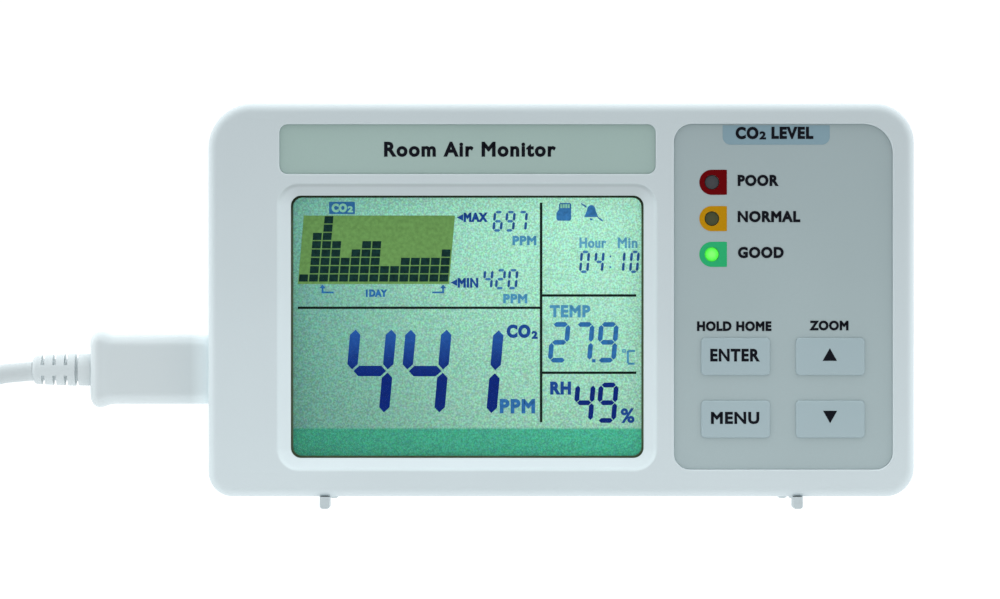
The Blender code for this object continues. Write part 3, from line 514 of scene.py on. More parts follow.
def display_glass():
    """The lit green display: palest at the top right, with a fine coloured sparkle, and
    a deeper green band along the bottom edge."""
    material, tree, shader, where = new_material("display_green", 0.4, specular=0.1)
    across = component(tree, where, "X")
    height = component(tree, where, "Z")
    paler = ramp(tree, across, -92 * MM, 13 * MM, soft=True)
    tone = mixed(tree, paler, colour(86, 146, 134), colour(163, 221, 194))
    tone = toned(tree, tone, ramp(tree, height, 14 * MM, 72 * MM, 0.64, 1.0))
    deeper = ramp(tree, across, -60 * MM, 15 * MM, 0.78, 1.18)
    band = toned(tree, colour(60, 150, 122), deeper)
    tone = mixed(tree, ramp(tree, height, 18.9 * MM, 18.3 * MM), tone, band)
    sparkle = noise(tree, where, 0.55 * MM, 1.0).outputs["Color"]
    tone = mixed(tree, 0.33, tone, sparkle, "OVERLAY")
    speck = noise(tree, where, 0.36 * MM, 0.0).outputs["Fac"]
    tone = toned(tree, tone, ramp(tree, speck, 0.3, 0.7, 0.82, 1.18))
    painted(tree, shader, tone, 0.5)
    return material


def display_ink(name, low_paint, high_paint=None, glow=0.2, variety=0.1):
    """Display segments: one tone at the bottom, another at the top, and soft blotches."""
    material, tree, shader, where = new_material(name, 0.5, specular=0.0)
    height = ramp(tree, component(tree, where, "Z"), 30 * MM, 44 * MM, soft=True)
    tone = mixed(tree, height, low_paint, high_paint or low_paint)
    blotch = noise(tree, where, 0.9 * MM, 1.0).outputs["Fac"]
    tone = toned(tree, tone, ramp(tree, blotch, 0.3, 0.7, 1 - variety, 1 + variety))
    painted(tree, shader, tone, glow)
    return material


def clear_pane():
    """The window: nearly clear, with faint smears in its gloss."""
    material, tree, shader, where = new_material("window_clear", 0.12)
    smear = noise(tree, where, 18 * MM, 3.0).outputs["Fac"]
    tree.links.new(ramp(tree, smear, 0.3, 0.7, 0.06, 0.2), shader.inputs["Roughness"])
    tone = mixed(tree, smear, (0.02, 0.03, 0.03, 1), (0.03, 0.05, 0.045, 1))
    painted(tree, shader, tone)
    shader.inputs["Alpha"].default_value = 0.05
    return material


def lamp_material(name, edge, centre, glow, z):
    """A lamp: one colour at its rim, another in the middle, with fine specks."""
    material, tree, shader, where = new_material(name, 0.45, specular=0.2)
    offset = offset_from(tree, where, (LED_X, LENS_TOP, z))
    reach = node(tree, "ShaderNodeVectorMath", Vector=offset)
    reach.operation = "LENGTH"
    fine = noise(tree, where, 0.3 * MM).outputs["Fac"]
    disc = ramp(tree, reach.outputs["Value"], 1.5 * MM, 0.3 * MM, soft=True)
    tone = mixed(tree, disc, edge, centre)
    tone = mixed(tree, ramp(tree, fine, 0.35, 0.65, 0, 0.25), tone, scaled(centre, 1.1))
    painted(tree, shader, tone, glow)
    return material


# ------------------------------------------------------------ mesh helpers


def piece(name, mesh, material, body, replaces=(), smooth_angle=35):
    """Links a mesh as one shown piece on its body."""
    mesh.materials.clear()
    mesh.materials.append(material)
    if smooth_angle:
        mesh.shade_smooth()
        mesh.set_sharp_from_angle(angle=math.radians(smooth_angle))
    obj = bpy.data.objects.new(name, mesh)
    scene.collection.objects.link(obj)
    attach(obj, body)
    if replaces:
        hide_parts(*replaces)
    return obj


def outline(low, high, radii, inset=0.0, steps=CORNER_STEPS):
    """(X, Z) points of a rounded rectangle. Radii: top left, top right, bottom right,
    bottom left, seen from the front."""
    top_left, top_right, bottom_right, bottom_left = radii
    corners = (
        (high[0], high[1], 1, 1, top_right, 0),
        (low[0], high[1], -1, 1, top_left, 90),
        (low[0], low[1], -1, -1, bottom_left, 180),
        (high[0], low[1], 1, -1, bottom_right, 270),
    )
    points = []
    for x, z, side, up, radius, start in corners:
        centre_x = x - side * radius
        centre_z = z - up * radius
        for i in range(steps + 1):
            angle = math.radians(start + 90 * i / steps)
            reach = radius - inset
            points.append((centre_x + reach * math.cos(angle), centre_z + reach * math.sin(angle)))
    return points


def at_depth(points, y):
    return [(x, y, z) for x, z in points]


def loft(rings):
    """A closed mesh through rings that have the same number of points."""
    bm = bmesh.new()
    made = [[bm.verts.new(co) for co in ring] for ring in rings]
    count = len(made[0])
    for ring, following in zip(made, made[1:]):
        for i in range(count):
            j = (i + 1) % count
            bm.faces.new((ring[i], ring[j], following[j], following[i]))
    bm.faces.new(list(reversed(made[0])))
    bm.faces.new(made[-1])
    bmesh.ops.recalc_face_normals(bm, faces=bm.faces)
    mesh = bpy.data.meshes.new("loft")
    bm.to_mesh(mesh)
    bm.free()
    return mesh


def across_sections(sections, y, z, swap=False):
    """Rings across X from (X, half, half, corner radius) in millimetres, centred on
    (y, z). The first half runs along Z, or along Y when swapped."""
    rings = []
    for x, first, second, radius in sections:
        half_y, half_z = (first, second) if swap else (second, first)
        low = (y - half_y * MM, z - half_z * MM)
        high = (y + half_y * MM, z + half_z * MM)
        ring = outline(low, high, (radius * MM,) * 4, steps=8)
        rings.append([(x * MM, a, b) for a, b in ring])
    return rings


def lip(edge, front, steps=LIP_STEPS):
    """(inset, y) pairs round a quarter circle that ends flat on the front."""
    pairs = []
    for i in range(steps + 1):
        angle = math.radians(90 * i / steps)
        pairs.append((edge * (1 - math.cos(angle)), front + edge * (1 - math.sin(angle))))
    return pairs


def plate(low, high, radii, front, back, edge=0.0, steps=CORNER_STEPS):
    """A flat plate with a rounded front edge."""
    pairs = [(0, back)] + (lip(edge, front) if edge else [(0, front)])
    return loft([at_depth(outline(low, high, radii, inset, steps), y) for inset, y in pairs])


def pocket(low, high, radii):
    """A cutter for a recess in the front face with a rounded-over mouth."""
    pairs = [(-RECESS_LIP, CASE_FRONT - BEYOND)]
    for i in range(LIP_STEPS + 1):
        angle = math.radians(90 * i / LIP_STEPS)
        y = CASE_FRONT + RECESS_LIP * (1 - math.cos(angle))
        pairs.append((-RECESS_LIP * (1 - math.sin(angle)), y))
    pairs.append((0, RECESS_FLOOR))
    return loft([at_depth(outline(low, high, radii, inset), y) for inset, y in pairs])


def lathe(profile, start, axis, sides):
    """A solid of revolution from (radius, distance along the axis) pairs, with flat
    ends."""
    turn = Vector(axis).to_track_quat("Z", "Y")
    rings = []
    for radius, along in profile:
        ring = []
        for i in range(sides):
            angle = math.tau * i / sides
            local = Vector((radius * math.cos(angle), radius * math.sin(angle), along))
            ring.append(Vector(start) + turn @ local)
        rings.append(ring)
    return loft(rings)


def in_mm(pairs):
    return [(a * MM, b * MM) for a, b in pairs]


def drum(radius, start, end, sides=24):
    start, end = Vector(start), Vector(end)
    length = (end - start).length
    return lathe(((radius, 0), (radius, length)), start, end - start, sides)


def peg(radius, x, z, front, back, sides=24):
    """A drum that runs from front to back, centred on (x, z)."""
    return drum(radius, (x, front, z), (x, back, z), sides)


def slab(low, high):
    """A plain box, used only to cut or to join."""
    low, high = Vector(low), Vector(high)
    corners = ((low.x, low.z), (high.x, low.z), (high.x, high.z), (low.x, high.z))
    return loft([at_depth(corners, low.y), at_depth(corners, high.y)])


def carved(mesh, steps):
    """The mesh after joining ("UNION") or cutting ("DIFFERENCE") each tool mesh."""
    body = bpy.data.objects.new("carving", mesh)
    scene.collection.objects.link(body)
    tools = []
    for operation, tool_mesh in steps:
        tool = bpy.data.objects.new("tool", tool_mesh)
        scene.collection.objects.link(tool)
        tools.append(tool)
        modifier = body.modifiers.new("tool", "BOOLEAN")
        modifier.operation = operation
        modifier.solver = "EXACT"
        modifier.object = tool
    bpy.context.view_layer.update()
    graph = bpy.context.evaluated_depsgraph_get()
    result = bpy.data.meshes.new_from_object(body.evaluated_get(graph))
    for obj in (body, *tools):
        bpy.data.objects.remove(obj, do_unlink=True)
    return result


def cut(mesh, tools):
    return carved(mesh, [("DIFFERENCE", tool) for tool in tools])


def join(mesh, tools):
    return carved(mesh, [("UNION", tool) for tool in tools])


def node_outline(name, grow=0.0):
    """Low and high (X, Z) corners of a CAD node, grown on all sides."""
    low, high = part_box(name)
    return (low.x - grow, low.z - grow), (high.x + grow, high.z + grow)


# ------------------------------------------------------------------- case


def case_solid(pairs):
    """A solid with the case's outline, from (inset, y) pairs."""
    corners = (CASE_LOW.x, CASE_LOW.z), (CASE_HIGH.x, CASE_HIGH.z)
    return loft([at_depth(outline(*corners, CASE_RADII, inset), y) for inset, y in pairs])


def dish_cutter():
    """The slope from the case's face down to the window, steeper near its rim."""
    low, high = node_outline("display_window", WINDOW_MARGIN)
    rim = outline(DISH_LOW, DISH_HIGH, (DISH_RADIUS,) * 4)
    opening = outline(low, high, (WINDOW_RADIUS + WINDOW_MARGIN,) * 4)
    depth = DISH_FLOOR - CASE_FRONT

    def ring(share, y):
        points = []
        for outer, inner in zip(rim, opening):
            x = outer[0] + (inner[0] - outer[0]) * share
            points.append((x, outer[1] + (inner[1] - outer[1]) * share))
        return at_depth(points, y)

    rings = [ring(DISH_PROFILE[0][0], CASE_FRONT - BEYOND)]
    rings += [ring(share, CASE_FRONT + depth * down) for share, down in DISH_PROFILE]
    rings.append(ring(1, FRONT_INSIDE + BEYOND))
    return loft(rings)


def points_in_mm(places):
    return [Vector(place) * MM for place in places]


def side_openings():
    """Cutters that both shells share: power socket, card slot and foot necks."""
    y, z = PLUG_AXIS
    tools = [
        slab((-83 * MM, y - 2.6 * MM, z - 4.9 * MM), (-77 * MM, y + 2.6 * MM, z + 4.9 * MM)),
        slab(
            (77 * MM, -16.1 * MM, CARD_Z - 5.9 * MM),
            (83 * MM, SPLIT + 0.15 * MM, CARD_Z + 5.9 * MM),
        ),
    ]
    for x in (-FOOT_X, FOOT_X):
        tools.append(drum(1.45 * MM, (x, FOOT_PIVOT_Y, 2 * MM), (x, FOOT_PIVOT_Y, 6.2 * MM)))
    return tools


def key_corners(key, grow=0.0):
    """Corners of the cap's outline: the CAD key's box less its flange."""
    return node_outline(f"key_{key}", grow - KEY_FLANGE)


def front_shell(material):
    """The front of the case with its dish, recesses, openings and screw posts."""
    bosses = []
    pilots = []
    for places, boss, boss_back, pilot, depth in (
        (CASE_SCREWS, 3.0 * MM, SPLIT_FRONT, 1.5 * MM, -18.2 * MM),
        (BOARD_SCREWS, 2.2 * MM, -18.4 * MM, 1.3 * MM, -22 * MM),
    ):
        for x, z in points_in_mm(places):
            bosses.append(peg(boss, x, z, FRONT_INSIDE - 0.5 * MM, boss_back))
            pilots.append(peg(pilot, x, z, depth, SPLIT_FRONT + BEYOND, 16))
    outer = case_solid(
        [(SEAM_EDGE, SPLIT_FRONT), (0, SPLIT_FRONT - SEAM_EDGE)] + lip(CASE_EDGE, CASE_FRONT, 8)
    )
    cavity = case_solid([(WALL, FRONT_INSIDE), (WALL, SPLIT_FRONT + BEYOND)])
    openings = [
        dish_cutter(),
        pocket(*node_outline("nameplate", GAP), NAME_RADII),
        pocket(*node_outline("key_panel", GAP), PANEL_RADII),
    ]
    inside = FRONT_INSIDE + 1.3 * MM
    for key in KEYS:
        openings.append(plate(*key_corners(key, GAP), KEY_RADII, CASE_FRONT, inside))
    for z in LAMPS.values():
        openings.append(peg(LED_HOLE + 0.2 * MM, LED_X, z, CASE_FRONT, inside))
    steps = [("DIFFERENCE", cavity)]
    steps += [("UNION", boss) for boss in bosses]
    steps += [("DIFFERENCE", tool) for tool in pilots + openings + side_openings()]
    piece("front_shell", carved(outer, steps), material, MONITOR, ["front_case"])


def rear_openings():
    """Keyholes, air slots, sounder holes, label recess and screw sinks."""
    outside = CASE_BACK + BEYOND
    floor = -6 * MM
    tools = []
    for x in (-KEYHOLE_X, KEYHOLE_X):
        tools.append(peg(KEYHOLE_RADIUS, x, KEYHOLE_Z, floor, outside, 40))
        low = (x - KEYHOLE_NECK / 2, KEYHOLE_Z)
        high = (x + KEYHOLE_NECK / 2, KEYHOLE_Z + KEYHOLE_RISE)
        radii = (1.9 * MM, 1.9 * MM, 0.1 * MM, 0.1 * MM)
        tools.append(plate(low, high, radii, floor, outside))
    for i in range(9):
        x = (-21 + 4 * i) * MM
        low, high = (x - 0.9 * MM, 30 * MM), (x + 0.9 * MM, 49 * MM)
        tools.append(plate(low, high, (0.882 * MM,) * 4, floor, outside, steps=6))
    for i in range(7):
        x = (-18 + 6 * i) * MM
        for z in (CASE_HIGH.z, CASE_LOW.z):
            low = (x - 2 * MM, -10 * MM, z - 4 * MM)
            tools.append(slab(low, (x + 2 * MM, -8.4 * MM, z + 4 * MM)))
    holes = [Vector((0, 0))]
    for i in range(6):
        angle = math.radians(60 * i)
        holes.append(Vector((math.cos(angle), math.sin(angle))) * SOUNDER_RING)
    for hole in holes:
        tools.append(peg(0.8 * MM, *(SOUNDER + hole), floor, outside, 16))
    label = node_outline("rating_label", GAP)
    tools.append(plate(*label, (2 * MM,) * 4, -2.6 * MM, outside))
    for x, z in points_in_mm(CASE_SCREWS):
        tools.append(peg(2.6 * MM, x, z, -7.3 * MM, outside, 32))
        tools.append(peg(1.5 * MM, x, z, -15 * MM, -7 * MM, 16))
    return tools


def rear_shell(material):
    """The back of the case, with the lip that sits inside the front."""
    front = REAR_LOW.y
    split = front + 1.5 * MM
    edge = [(inset, CASE_BACK + CASE_FRONT - y) for inset, y in lip(CASE_EDGE, CASE_FRONT, 8)]
    outer = case_solid([(SEAM_EDGE, split), (0, split + SEAM_EDGE)] + edge)
    inner = LIP_INSET + LIP_WALL
    steps = [
        ("UNION", case_solid([(LIP_INSET, front), (LIP_INSET, split + BEYOND)])),
        ("DIFFERENCE", case_solid([(WALL, LEDGE_BACK), (WALL, BACK_INSIDE)])),
        ("DIFFERENCE", case_solid([(inner, front - BEYOND), (inner, LEDGE_BACK + BEYOND)])),
    ]
    for x, z in points_in_mm(CASE_SCREWS):
        steps.append(("UNION", peg(3.4 * MM, x, z, split, BACK_INSIDE + 0.5 * MM)))
    tools = rear_openings() + side_openings()
    for x in (-FOOT_X, FOOT_X):
        start = (x, FOOT_PIVOT_Y, CASE_LOW.z + WALL)
        tools.append(drum(4.1 * MM, start, (x, FOOT_PIVOT_Y, 9 * MM)))
    steps += [("DIFFERENCE", tool) for tool in tools]
    piece("rear_shell", carved(outer, steps), material, MONITOR, ["rear_cover"])


def case_screws(material):
    """Pan-headed screws with a cross recess, seen down the sinks in the back."""
    for i in range(len(CASE_SCREWS)):
        name = f"case_screw_{i + 1}"
        low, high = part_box(name)
        x, z = (low.x + high.x) / 2, (low.z + high.z) / 2
        length = (high.y - low.y) / MM
        profile = [(0.3, 0), (1.2, 1.0), (1.2, length - 1.7), (2.3, length - 1.7)]
        profile += [(2.3, length - 1.0), (2.1, length - 0.45), (1.5, length - 0.1), (0.8, length)]
        body = lathe(in_mm(profile), (x, low.y, z), (0, 1, 0), 32)
        recess = high.y - 1.0 * MM
        tools = []
        for half_x, half_z in ((1.3, 0.28), (0.28, 1.3)):
            corner = (x - half_x * MM, recess, z - half_z * MM)
            tools.append(slab(corner, (x + half_x * MM, high.y + BEYOND, z + half_z * MM)))
        piece(f"{name}_pan", cut(body, tools), material, MONITOR, [name])


# ------------------------------------------------- front fittings and keys


def film(node_name, radii):
    """A printed film that nearly fills its recess."""
    low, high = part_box(node_name)
    radii = tuple(radius - GAP + FILM_GROWTH for radius in radii)
    return plate(*node_outline(node_name, FILM_GROWTH), radii, low.y, high.y, FILM_EDGE)


def nameplate(material):
    mesh = film("nameplate", NAME_RADII)
    piece("nameplate_film", mesh, material, MONITOR, ["nameplate"])


def key_panel(material):
    """The film over the keys and lamps, with a window for each."""
    low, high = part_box("key_panel")
    front, back = low.y - BEYOND, high.y + BEYOND
    tools = [plate(*key_corners(key, KEY_GAP), KEY_RADII, front, back) for key in KEYS]
    tools += [peg(LED_HOLE, LED_X, z, front, back, 40) for z in LAMPS.values()]
    mesh = cut(film("key_panel", PANEL_RADII), tools)
    piece("panel_film", mesh, material, MONITOR, ["key_panel"])


def key_caps(material):
    """Each cap in one loft: the flange behind the panel, then the rounded cap."""
    for key in KEYS:
        node_name = f"key_{key}"
        low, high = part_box(node_name)
        flange_front = high.y - KEY_FLANGE_DEPTH
        flange = outline(*node_outline(node_name), (0.3 * MM,) * 4)
        rings = [at_depth(flange, high.y), at_depth(flange, flange_front)]
        for inset, y in [(0, flange_front)] + lip(KEY_EDGE, low.y):
            rings.append(at_depth(outline(*key_corners(key), KEY_RADII, inset), y))
        piece(f"{node_name}_cap", loft(rings), material, f"{key}_key", [node_name])


def lamps(materials):
    """Flat-topped lamps, flush with the panel, on two wire legs."""
    profile = [(1.8, 21.8), (1.8, 22.6), (1.62, 22.6), (1.62, 27.1)]
    profile += [(1.6, 27.22), (1.52, 27.32), (1.38, 27.37), (0.9, 27.39), (0.4, 27.395)]
    for name, z in LAMPS.items():
        lens = lathe(in_mm(profile), (LED_X, 0, z), (0, -1, 0), 40)
        legs = []
        for leg_z in (z - 1 * MM, z + 1 * MM):
            legs.append(peg(0.25 * MM, LED_X, leg_z, -22.3 * MM, -18.4 * MM, 10))
        node_name = f"led_{name}"
        piece(f"lamp_{name}", join(lens, legs), materials[name], MONITOR, [node_name])


# ------------------------------------------------------------------ print


def polygons(shapes):
    """A flat mesh from polygons of (X, Z) points in millimetres."""
    bm = bmesh.new()
    for shape in shapes:
        bm.faces.new([bm.verts.new((x, 0, z)) for x, z in shape])
    mesh = bpy.data.meshes.new("polygons")
    bm.to_mesh(mesh)
    bm.free()
    return mesh


def embolden(mesh, weight):
    """Moves the outline of a flat mesh in the XZ plane outwards."""
    bm = bmesh.new()
    bm.from_mesh(mesh)
    moves = {}
    for vertex in bm.verts:
        normals = []
        for edge in vertex.link_edges:
            if not edge.is_boundary:
                continue
            along = (edge.verts[1].co - edge.verts[0].co).normalized()
            outward = Vector((along.z, 0, -along.x))
            middle = (edge.verts[0].co + edge.verts[1].co) / 2
            if outward.dot(middle - edge.link_faces[0].calc_center_median()) < 0:
                outward = -outward
            normals.append(outward)
        if len(normals) == 2:
            total = normals[0] + normals[1]
            spread = max(0.45, 1 + normals[0].dot(normals[1]))
            moves[vertex] = total / spread * weight
    for vertex, move in moves.items():
        vertex.co += move
    bm.to_mesh(mesh)
    bm.free()
    return mesh


def letters(text, left, right, base, top, weight):
    """A word that fills a box given in millimetres, as a flat mesh. The weight is
    added all round the strokes."""
    curve = bpy.data.curves.new("word", "FONT")
    curve.body = text
    curve.resolution_u = 4
    curve.space_character = 1 + 0.8 * weight  # room for heavier strokes
    holder = bpy.data.objects.new("word", curve)
    scene.collection.objects.link(holder)
    bpy.context.view_layer.update()
    graph = bpy.context.evaluated_depsgraph_get()
    mesh = bpy.data.meshes.new_from_object(holder.evaluated_get(graph))
    bpy.data.objects.remove(holder, do_unlink=True)
    xs = [v.co.x for v in mesh.vertices]
    ys = [v.co.y for v in mesh.vertices]
    stretch_x = (right - left - 2 * weight) / (max(xs) - min(xs))
    stretch_z = (top - base - 2 * weight) / (max(ys) - min(ys))
    for vertex in mesh.vertices:
        x = left + weight + (vertex.co.x - min(xs)) * stretch_x
        vertex.co = (x, 0, base + weight + (vertex.co.y - min(ys)) * stretch_z)
    bm = bmesh.new()
    bm.from_mesh(mesh)
    bmesh.ops.remove_doubles(bm, verts=bm.verts, dist=0.001)
    bm.to_mesh(mesh)
    bm.free()
    return embolden(mesh, weight)


def ink(name, shapes, y, material, body=MONITOR, about=None, grow=1.0):
    """Print at depth y, from flat meshes in millimetres, grown about a centre."""
    bm = bmesh.new()
    for mesh in shapes:
        bm.from_mesh(mesh)
    centre = about or Vector((0, 0, 0))
    for vertex in bm.verts:
        offset = vertex.co * MM - centre
        vertex.co = (centre.x + offset.x * grow, y, centre.z + offset.z * grow)
    mesh = bpy.data.meshes.new(name)
    bm.to_mesh(mesh)
    bm.free()
    return piece(name, mesh, material, body, smooth_angle=0)


def display_print(name, shapes, material, layer=1):
    """Print on the glass. It lies deeper than the case's front, so it is grown about
    the camera's axis to look the stated size."""
    y = GLASS_FRONT - layer * INK_LIFT
    grow = (y - CAMERA_AT.y) / (CASE_FRONT - CAMERA_AT.y)
    return ink(name, shapes, y, material, about=CAMERA_AT, grow=grow)


def digit(figure, left, right, bottom, top, width, gap, lean, kinds="abcdefg"):
    """Polygons of a figure's segments, of those kinds only. The box runs along the
    segments' middles."""
    levels = (bottom, (bottom + top) / 2, top)
    shapes = []
    for segment in DIGITS[figure]:
        if segment not in kinds:
            continue
        ends = []
        for side, level in SEGMENTS[segment]:
            ends.append(Vector((left if side == "l" else right, levels[int(level)])))
        start, end = ends
        along = (end - start).normalized()
        across = Vector((-along.y, along.x)) * width / 2
        start, end = start + along * gap, end - along * gap
        tip = along * width / 2
        corners = (
            start,
            start + tip - across,
            end - tip - across,
            end,
            end - tip + across,
            start + tip + across,
        )
        shapes.append([(p.x + (p.y - bottom) * lean, p.y) for p in corners])
    return shapes


def number(figures, left, pitch, digit_width, bottom, top, width, kinds="abcdefg"):
    """Polygons of several small figures in a row. Sizes are of the outside edges."""
    shapes = []
    for i, figure in enumerate(figures):
        x = left + pitch * i
        shapes += digit(
            figure,
            x + width / 2,
            x + digit_width - width / 2,
            bottom + width / 2,
            top - width / 2,
            width,
            SMALL_GAP,
            SMALL_LEAN,
            kinds,
        )
    return shapes


def bar(x_low, x_high, z_low, z_high):
    return [(x_low, z_low), (x_high, z_low), (x_high, z_high), (x_low, z_high)]


def border(left, right, bottom, top, width):
    """Four bars just inside a box."""
    return [
        bar(left, right, bottom, bottom + width),
        bar(left, right, top - width, top),
        bar(left, left + width, bottom + width, top - width),
        bar(right - width, right, bottom + width, top - width),
    ]


def panel_print(black, blue):
    """Words on the nameplate, the panel and the keys."""
    name_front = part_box("nameplate")[0].y - INK_LIFT
    panel_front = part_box("key_panel")[0].y - INK_LIFT
    title = letters("Room Air Monitor", -41.2, -1.3, 81.85, 85.4, 0.19)
    ink("nameplate_print", [title], name_front, black)
    tab = outline((37.5, 84.7), (62.4, 89.2), (0.05, 0.05, 1.8, 1.8))
    ink("level_tab", [polygons([tab])], panel_front, blue)
    words = (
        ("CO", 40.5, 45.85, 85.95, 88.85, 0.19),
        ("2", 46.05, 47.6, 85.9, 87.8, 0.14),
        ("LEVEL", 48.85, 58.6, 86.0, 88.85, 0.19),
        ("POOR", 41.0, 50.4, 75.05, 77.7, 0.17),
        ("NORMAL", 41.0, 55.55, 66.65, 69.3, 0.17),
        ("GOOD", 41.05, 51.7, 58.3, 60.95, 0.17),
        ("HOLD HOME", 31.55, 48.85, 41.35, 43.65, 0.15),
        ("ZOOM", 57.8, 66.75, 41.5, 43.8, 0.15),
    )
    ink("panel_print", [letters(*word) for word in words], panel_front - INK_LIFT, black)
    key_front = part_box("key_enter")[0].y - INK_LIFT
    legends = {
        "enter": letters("ENTER", 34.6, 46.0, 34.3, 37.25, 0.16),
        "menu": letters("MENU", 34.75, 46.0, 19.75, 22.6, 0.16),
        "up": polygons([[(60.7, 34.45), (64.05, 34.45), (62.38, 37.4)]]),
        "down": polygons([[(60.8, 22.85), (62.45, 19.95), (64.1, 22.85)]]),
    }
    for key, shape in legends.items():
        ink(f"legend_{key}", [shape], key_front, black, body=f"{key}_key")


def lamp_badges(materials):
    """A D-shaped patch of colour round each lamp's hole."""
    right, half, count = 3.5, 2.925, 64
    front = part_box("key_panel")[0].y - INK_LIFT
    for name, z in LAMPS.items():
        centre = Vector((LED_X, z)) / MM
        pairs = []
        for i in range(count):
            angle = math.tau * i / count
            direction = Vector((math.cos(angle), math.sin(angle)))
            reach = half
            if direction.x > 0:
                reach = min(right / direction.x, half / max(abs(direction.y), 0.001))
            pairs.append((centre + direction * LED_HOLE / MM, centre + direction * reach))
        shapes = []
        for (inner, outer), (next_inner, next_outer) in zip(pairs, pairs[1:] + pairs[:1]):
            shapes.append([tuple(inner), tuple(outer), tuple(next_outer), tuple(next_inner)])
        ink(f"badge_{name}", [polygons(shapes)], front, materials[name])


def label_print(black):
    """Border, ruled fields and a tick box row on the blank rating label."""
    low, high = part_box("rating_label")
    left, right = low.x / MM + 1.5, high.x / MM - 1.5
    bottom, top = low.z / MM + 1.5, high.z / MM - 1.5
    shapes = border(left, right, bottom, top, 0.25)
    for i in range(4):
        z = top - 5 - 4 * i
        shapes.append(bar(left + 3, right - 18, z, z + 0.25))
    for i in range(3):
        x = right - 14 + 4.2 * i
        shapes += border(x, x + 3, bottom + 3, bottom + 6, 0.3)
    ink("label_rules", [polygons(shapes)], high.y + INK_LIFT, black)


# ---------------------------------------------------------------- display


def graph(field_ink, bar_ink, mark_ink):
    """The bar graph on its olive field, with its arrows and caption."""
    field = [(-61.2, 52.3), (-26.1, 52.3), (-24.7, 68.2), (-59.85, 68.2)]
    display_print("graph_field", [polygons([field])], field_ink)
    half_width, half_height, lean = 1.02, 0.84, 0.07 / 0.84
    cells = []
    for column, height in enumerate(BAR_HEIGHTS):
        for row in range(height):
            x = -59.88 + 2.328 * column + 0.17 * row
            z = 53.7 + 1.93 * row
            cell = bar(x - half_width, x + half_width, z - half_height, z + half_height)
            cells.append([(across + (up - z) * lean, up) for across, up in cell])
    display_print("graph_bars", [polygons(cells)], bar_ink, layer=2)
    arrows = []
    for x, tail in ((-55.475, (-55.25, -52.9)), (-27.475, (-30.0, -27.7))):
        arrows.append(bar(x - 0.225, x + 0.225, 50.15, 51.5))
        arrows.append(bar(*tail, 50.15, 50.55))
        arrows.append([(x - 0.725, 51.3), (x + 0.725, 51.3), (x, 52.2)])
    caption = letters("1DAY", -45.45, -40.5, 49.3, 51.05, 0.15)
    display_print("graph_marks", [polygons(arrows), caption], mark_ink)


def display_lines(line_ink):
    """The lines between the display's fields."""
    lines = [
        bar(-61.2, -4.9, 46.5, 47.05),
        bar(-5.0, -4.4, 20.2, 71.2),
        bar(-4.5, 17.4, 49.35, 49.92),
        bar(-4.5, 17.4, 31.4, 31.97),
    ]
    display_print("display_lines", [polygons(lines)], line_ink)


def main_reading(digit_ink, name_ink, unit_ink):
    """The large 441, its gas name and unit."""
    shapes = []
    for figure, left, drop in (("4", -49.55, 0.08), ("4", -36.7, 0.1), ("1", -24.6, 0.25)):
        bottom, top = 22.2 - drop, 42.15 - drop
        shapes += digit(figure, left, left + 8.3, bottom, top, 2.42, 0.36, 0.09)
    display_print("main_reading", [polygons(shapes)], digit_ink)
    name = [
        letters("CO", -12.7, -7.15, 39.75, 42.9, 0.24),
        letters("2", -6.9, -5.5, 39.55, 41.4, 0.16),
    ]
    display_print("main_name", name, name_ink)
    display_print("main_unit", [letters("PPM", -14.3, -6.1, 22.25, 25.6, 0.23)], unit_ink)


def small_figures(name, rows, upright_ink, level_ink):
    """Rows of small figures, in one ink for upright segments and one for level ones."""
    for way, kinds, paint in (("upright", UPRIGHT, upright_ink), ("level", LEVEL, level_ink)):
        shapes = []
        for row in rows:
            shapes += number(*row, SMALL_WIDTH, kinds)
        display_print(f"{name}_figures_{way}", [polygons(shapes)], paint)


def extremes(mark_ink, upright_ink, level_ink, unit_ink):
    """Highest and lowest readings beside the graph."""
    pointers = []
    for x, z in ((-24.3, 67.75), (-25.7, 52.65)):
        pointers.append([(x, z), (x + 1.5, z - 0.8), (x + 1.5, z + 0.8)])
    marks = [
        polygons(pointers),
        letters("MAX", -22.7, -17.2, 66.7, 68.9, 0.17),
        letters("MIN", -24.1, -19.3, 51.45, 53.7, 0.16),
    ]
    display_print("extreme_marks", marks, mark_ink)
    rows = (
        ("697", -16.05, 2.83, 2.3, 64.45, 69.3),
        ("420", -18.35, 2.88, 2.3, 51.05, 55.8),
    )
    small_figures("extreme", rows, upright_ink, level_ink)
    units = [
        letters("PPM", -11.35, -5.8, 61.3, 63.5, 0.16),
        letters("PPM", -13.5, -7.9, 47.8, 50.0, 0.16),
    ]
    display_print("extreme_units", units, unit_ink)


def clock(word_ink, upright_ink, level_ink):
    """The hour and the minute, under their words."""
    words = [
        letters("Hour", 4.2, 10.45, 60.65, 63.1, 0.12),
        letters("Min", 13.1, 17.7, 60.65, 63.1, 0.11),
    ]
    display_print("clock_words", words, word_ink)
    rows = (("04", 4.08, 3.38, 2.25, 54.85, 60.05), ("10", 12.45, 3.25, 2.15, 54.85, 60.05))
    small_figures("clock", rows, upright_ink, level_ink)
    dots = [bar(11.2, 11.6, z - 0.2, z + 0.2) for z in (56.2, 58.7)]
    display_print("clock_dots", [polygons(dots)], level_ink)


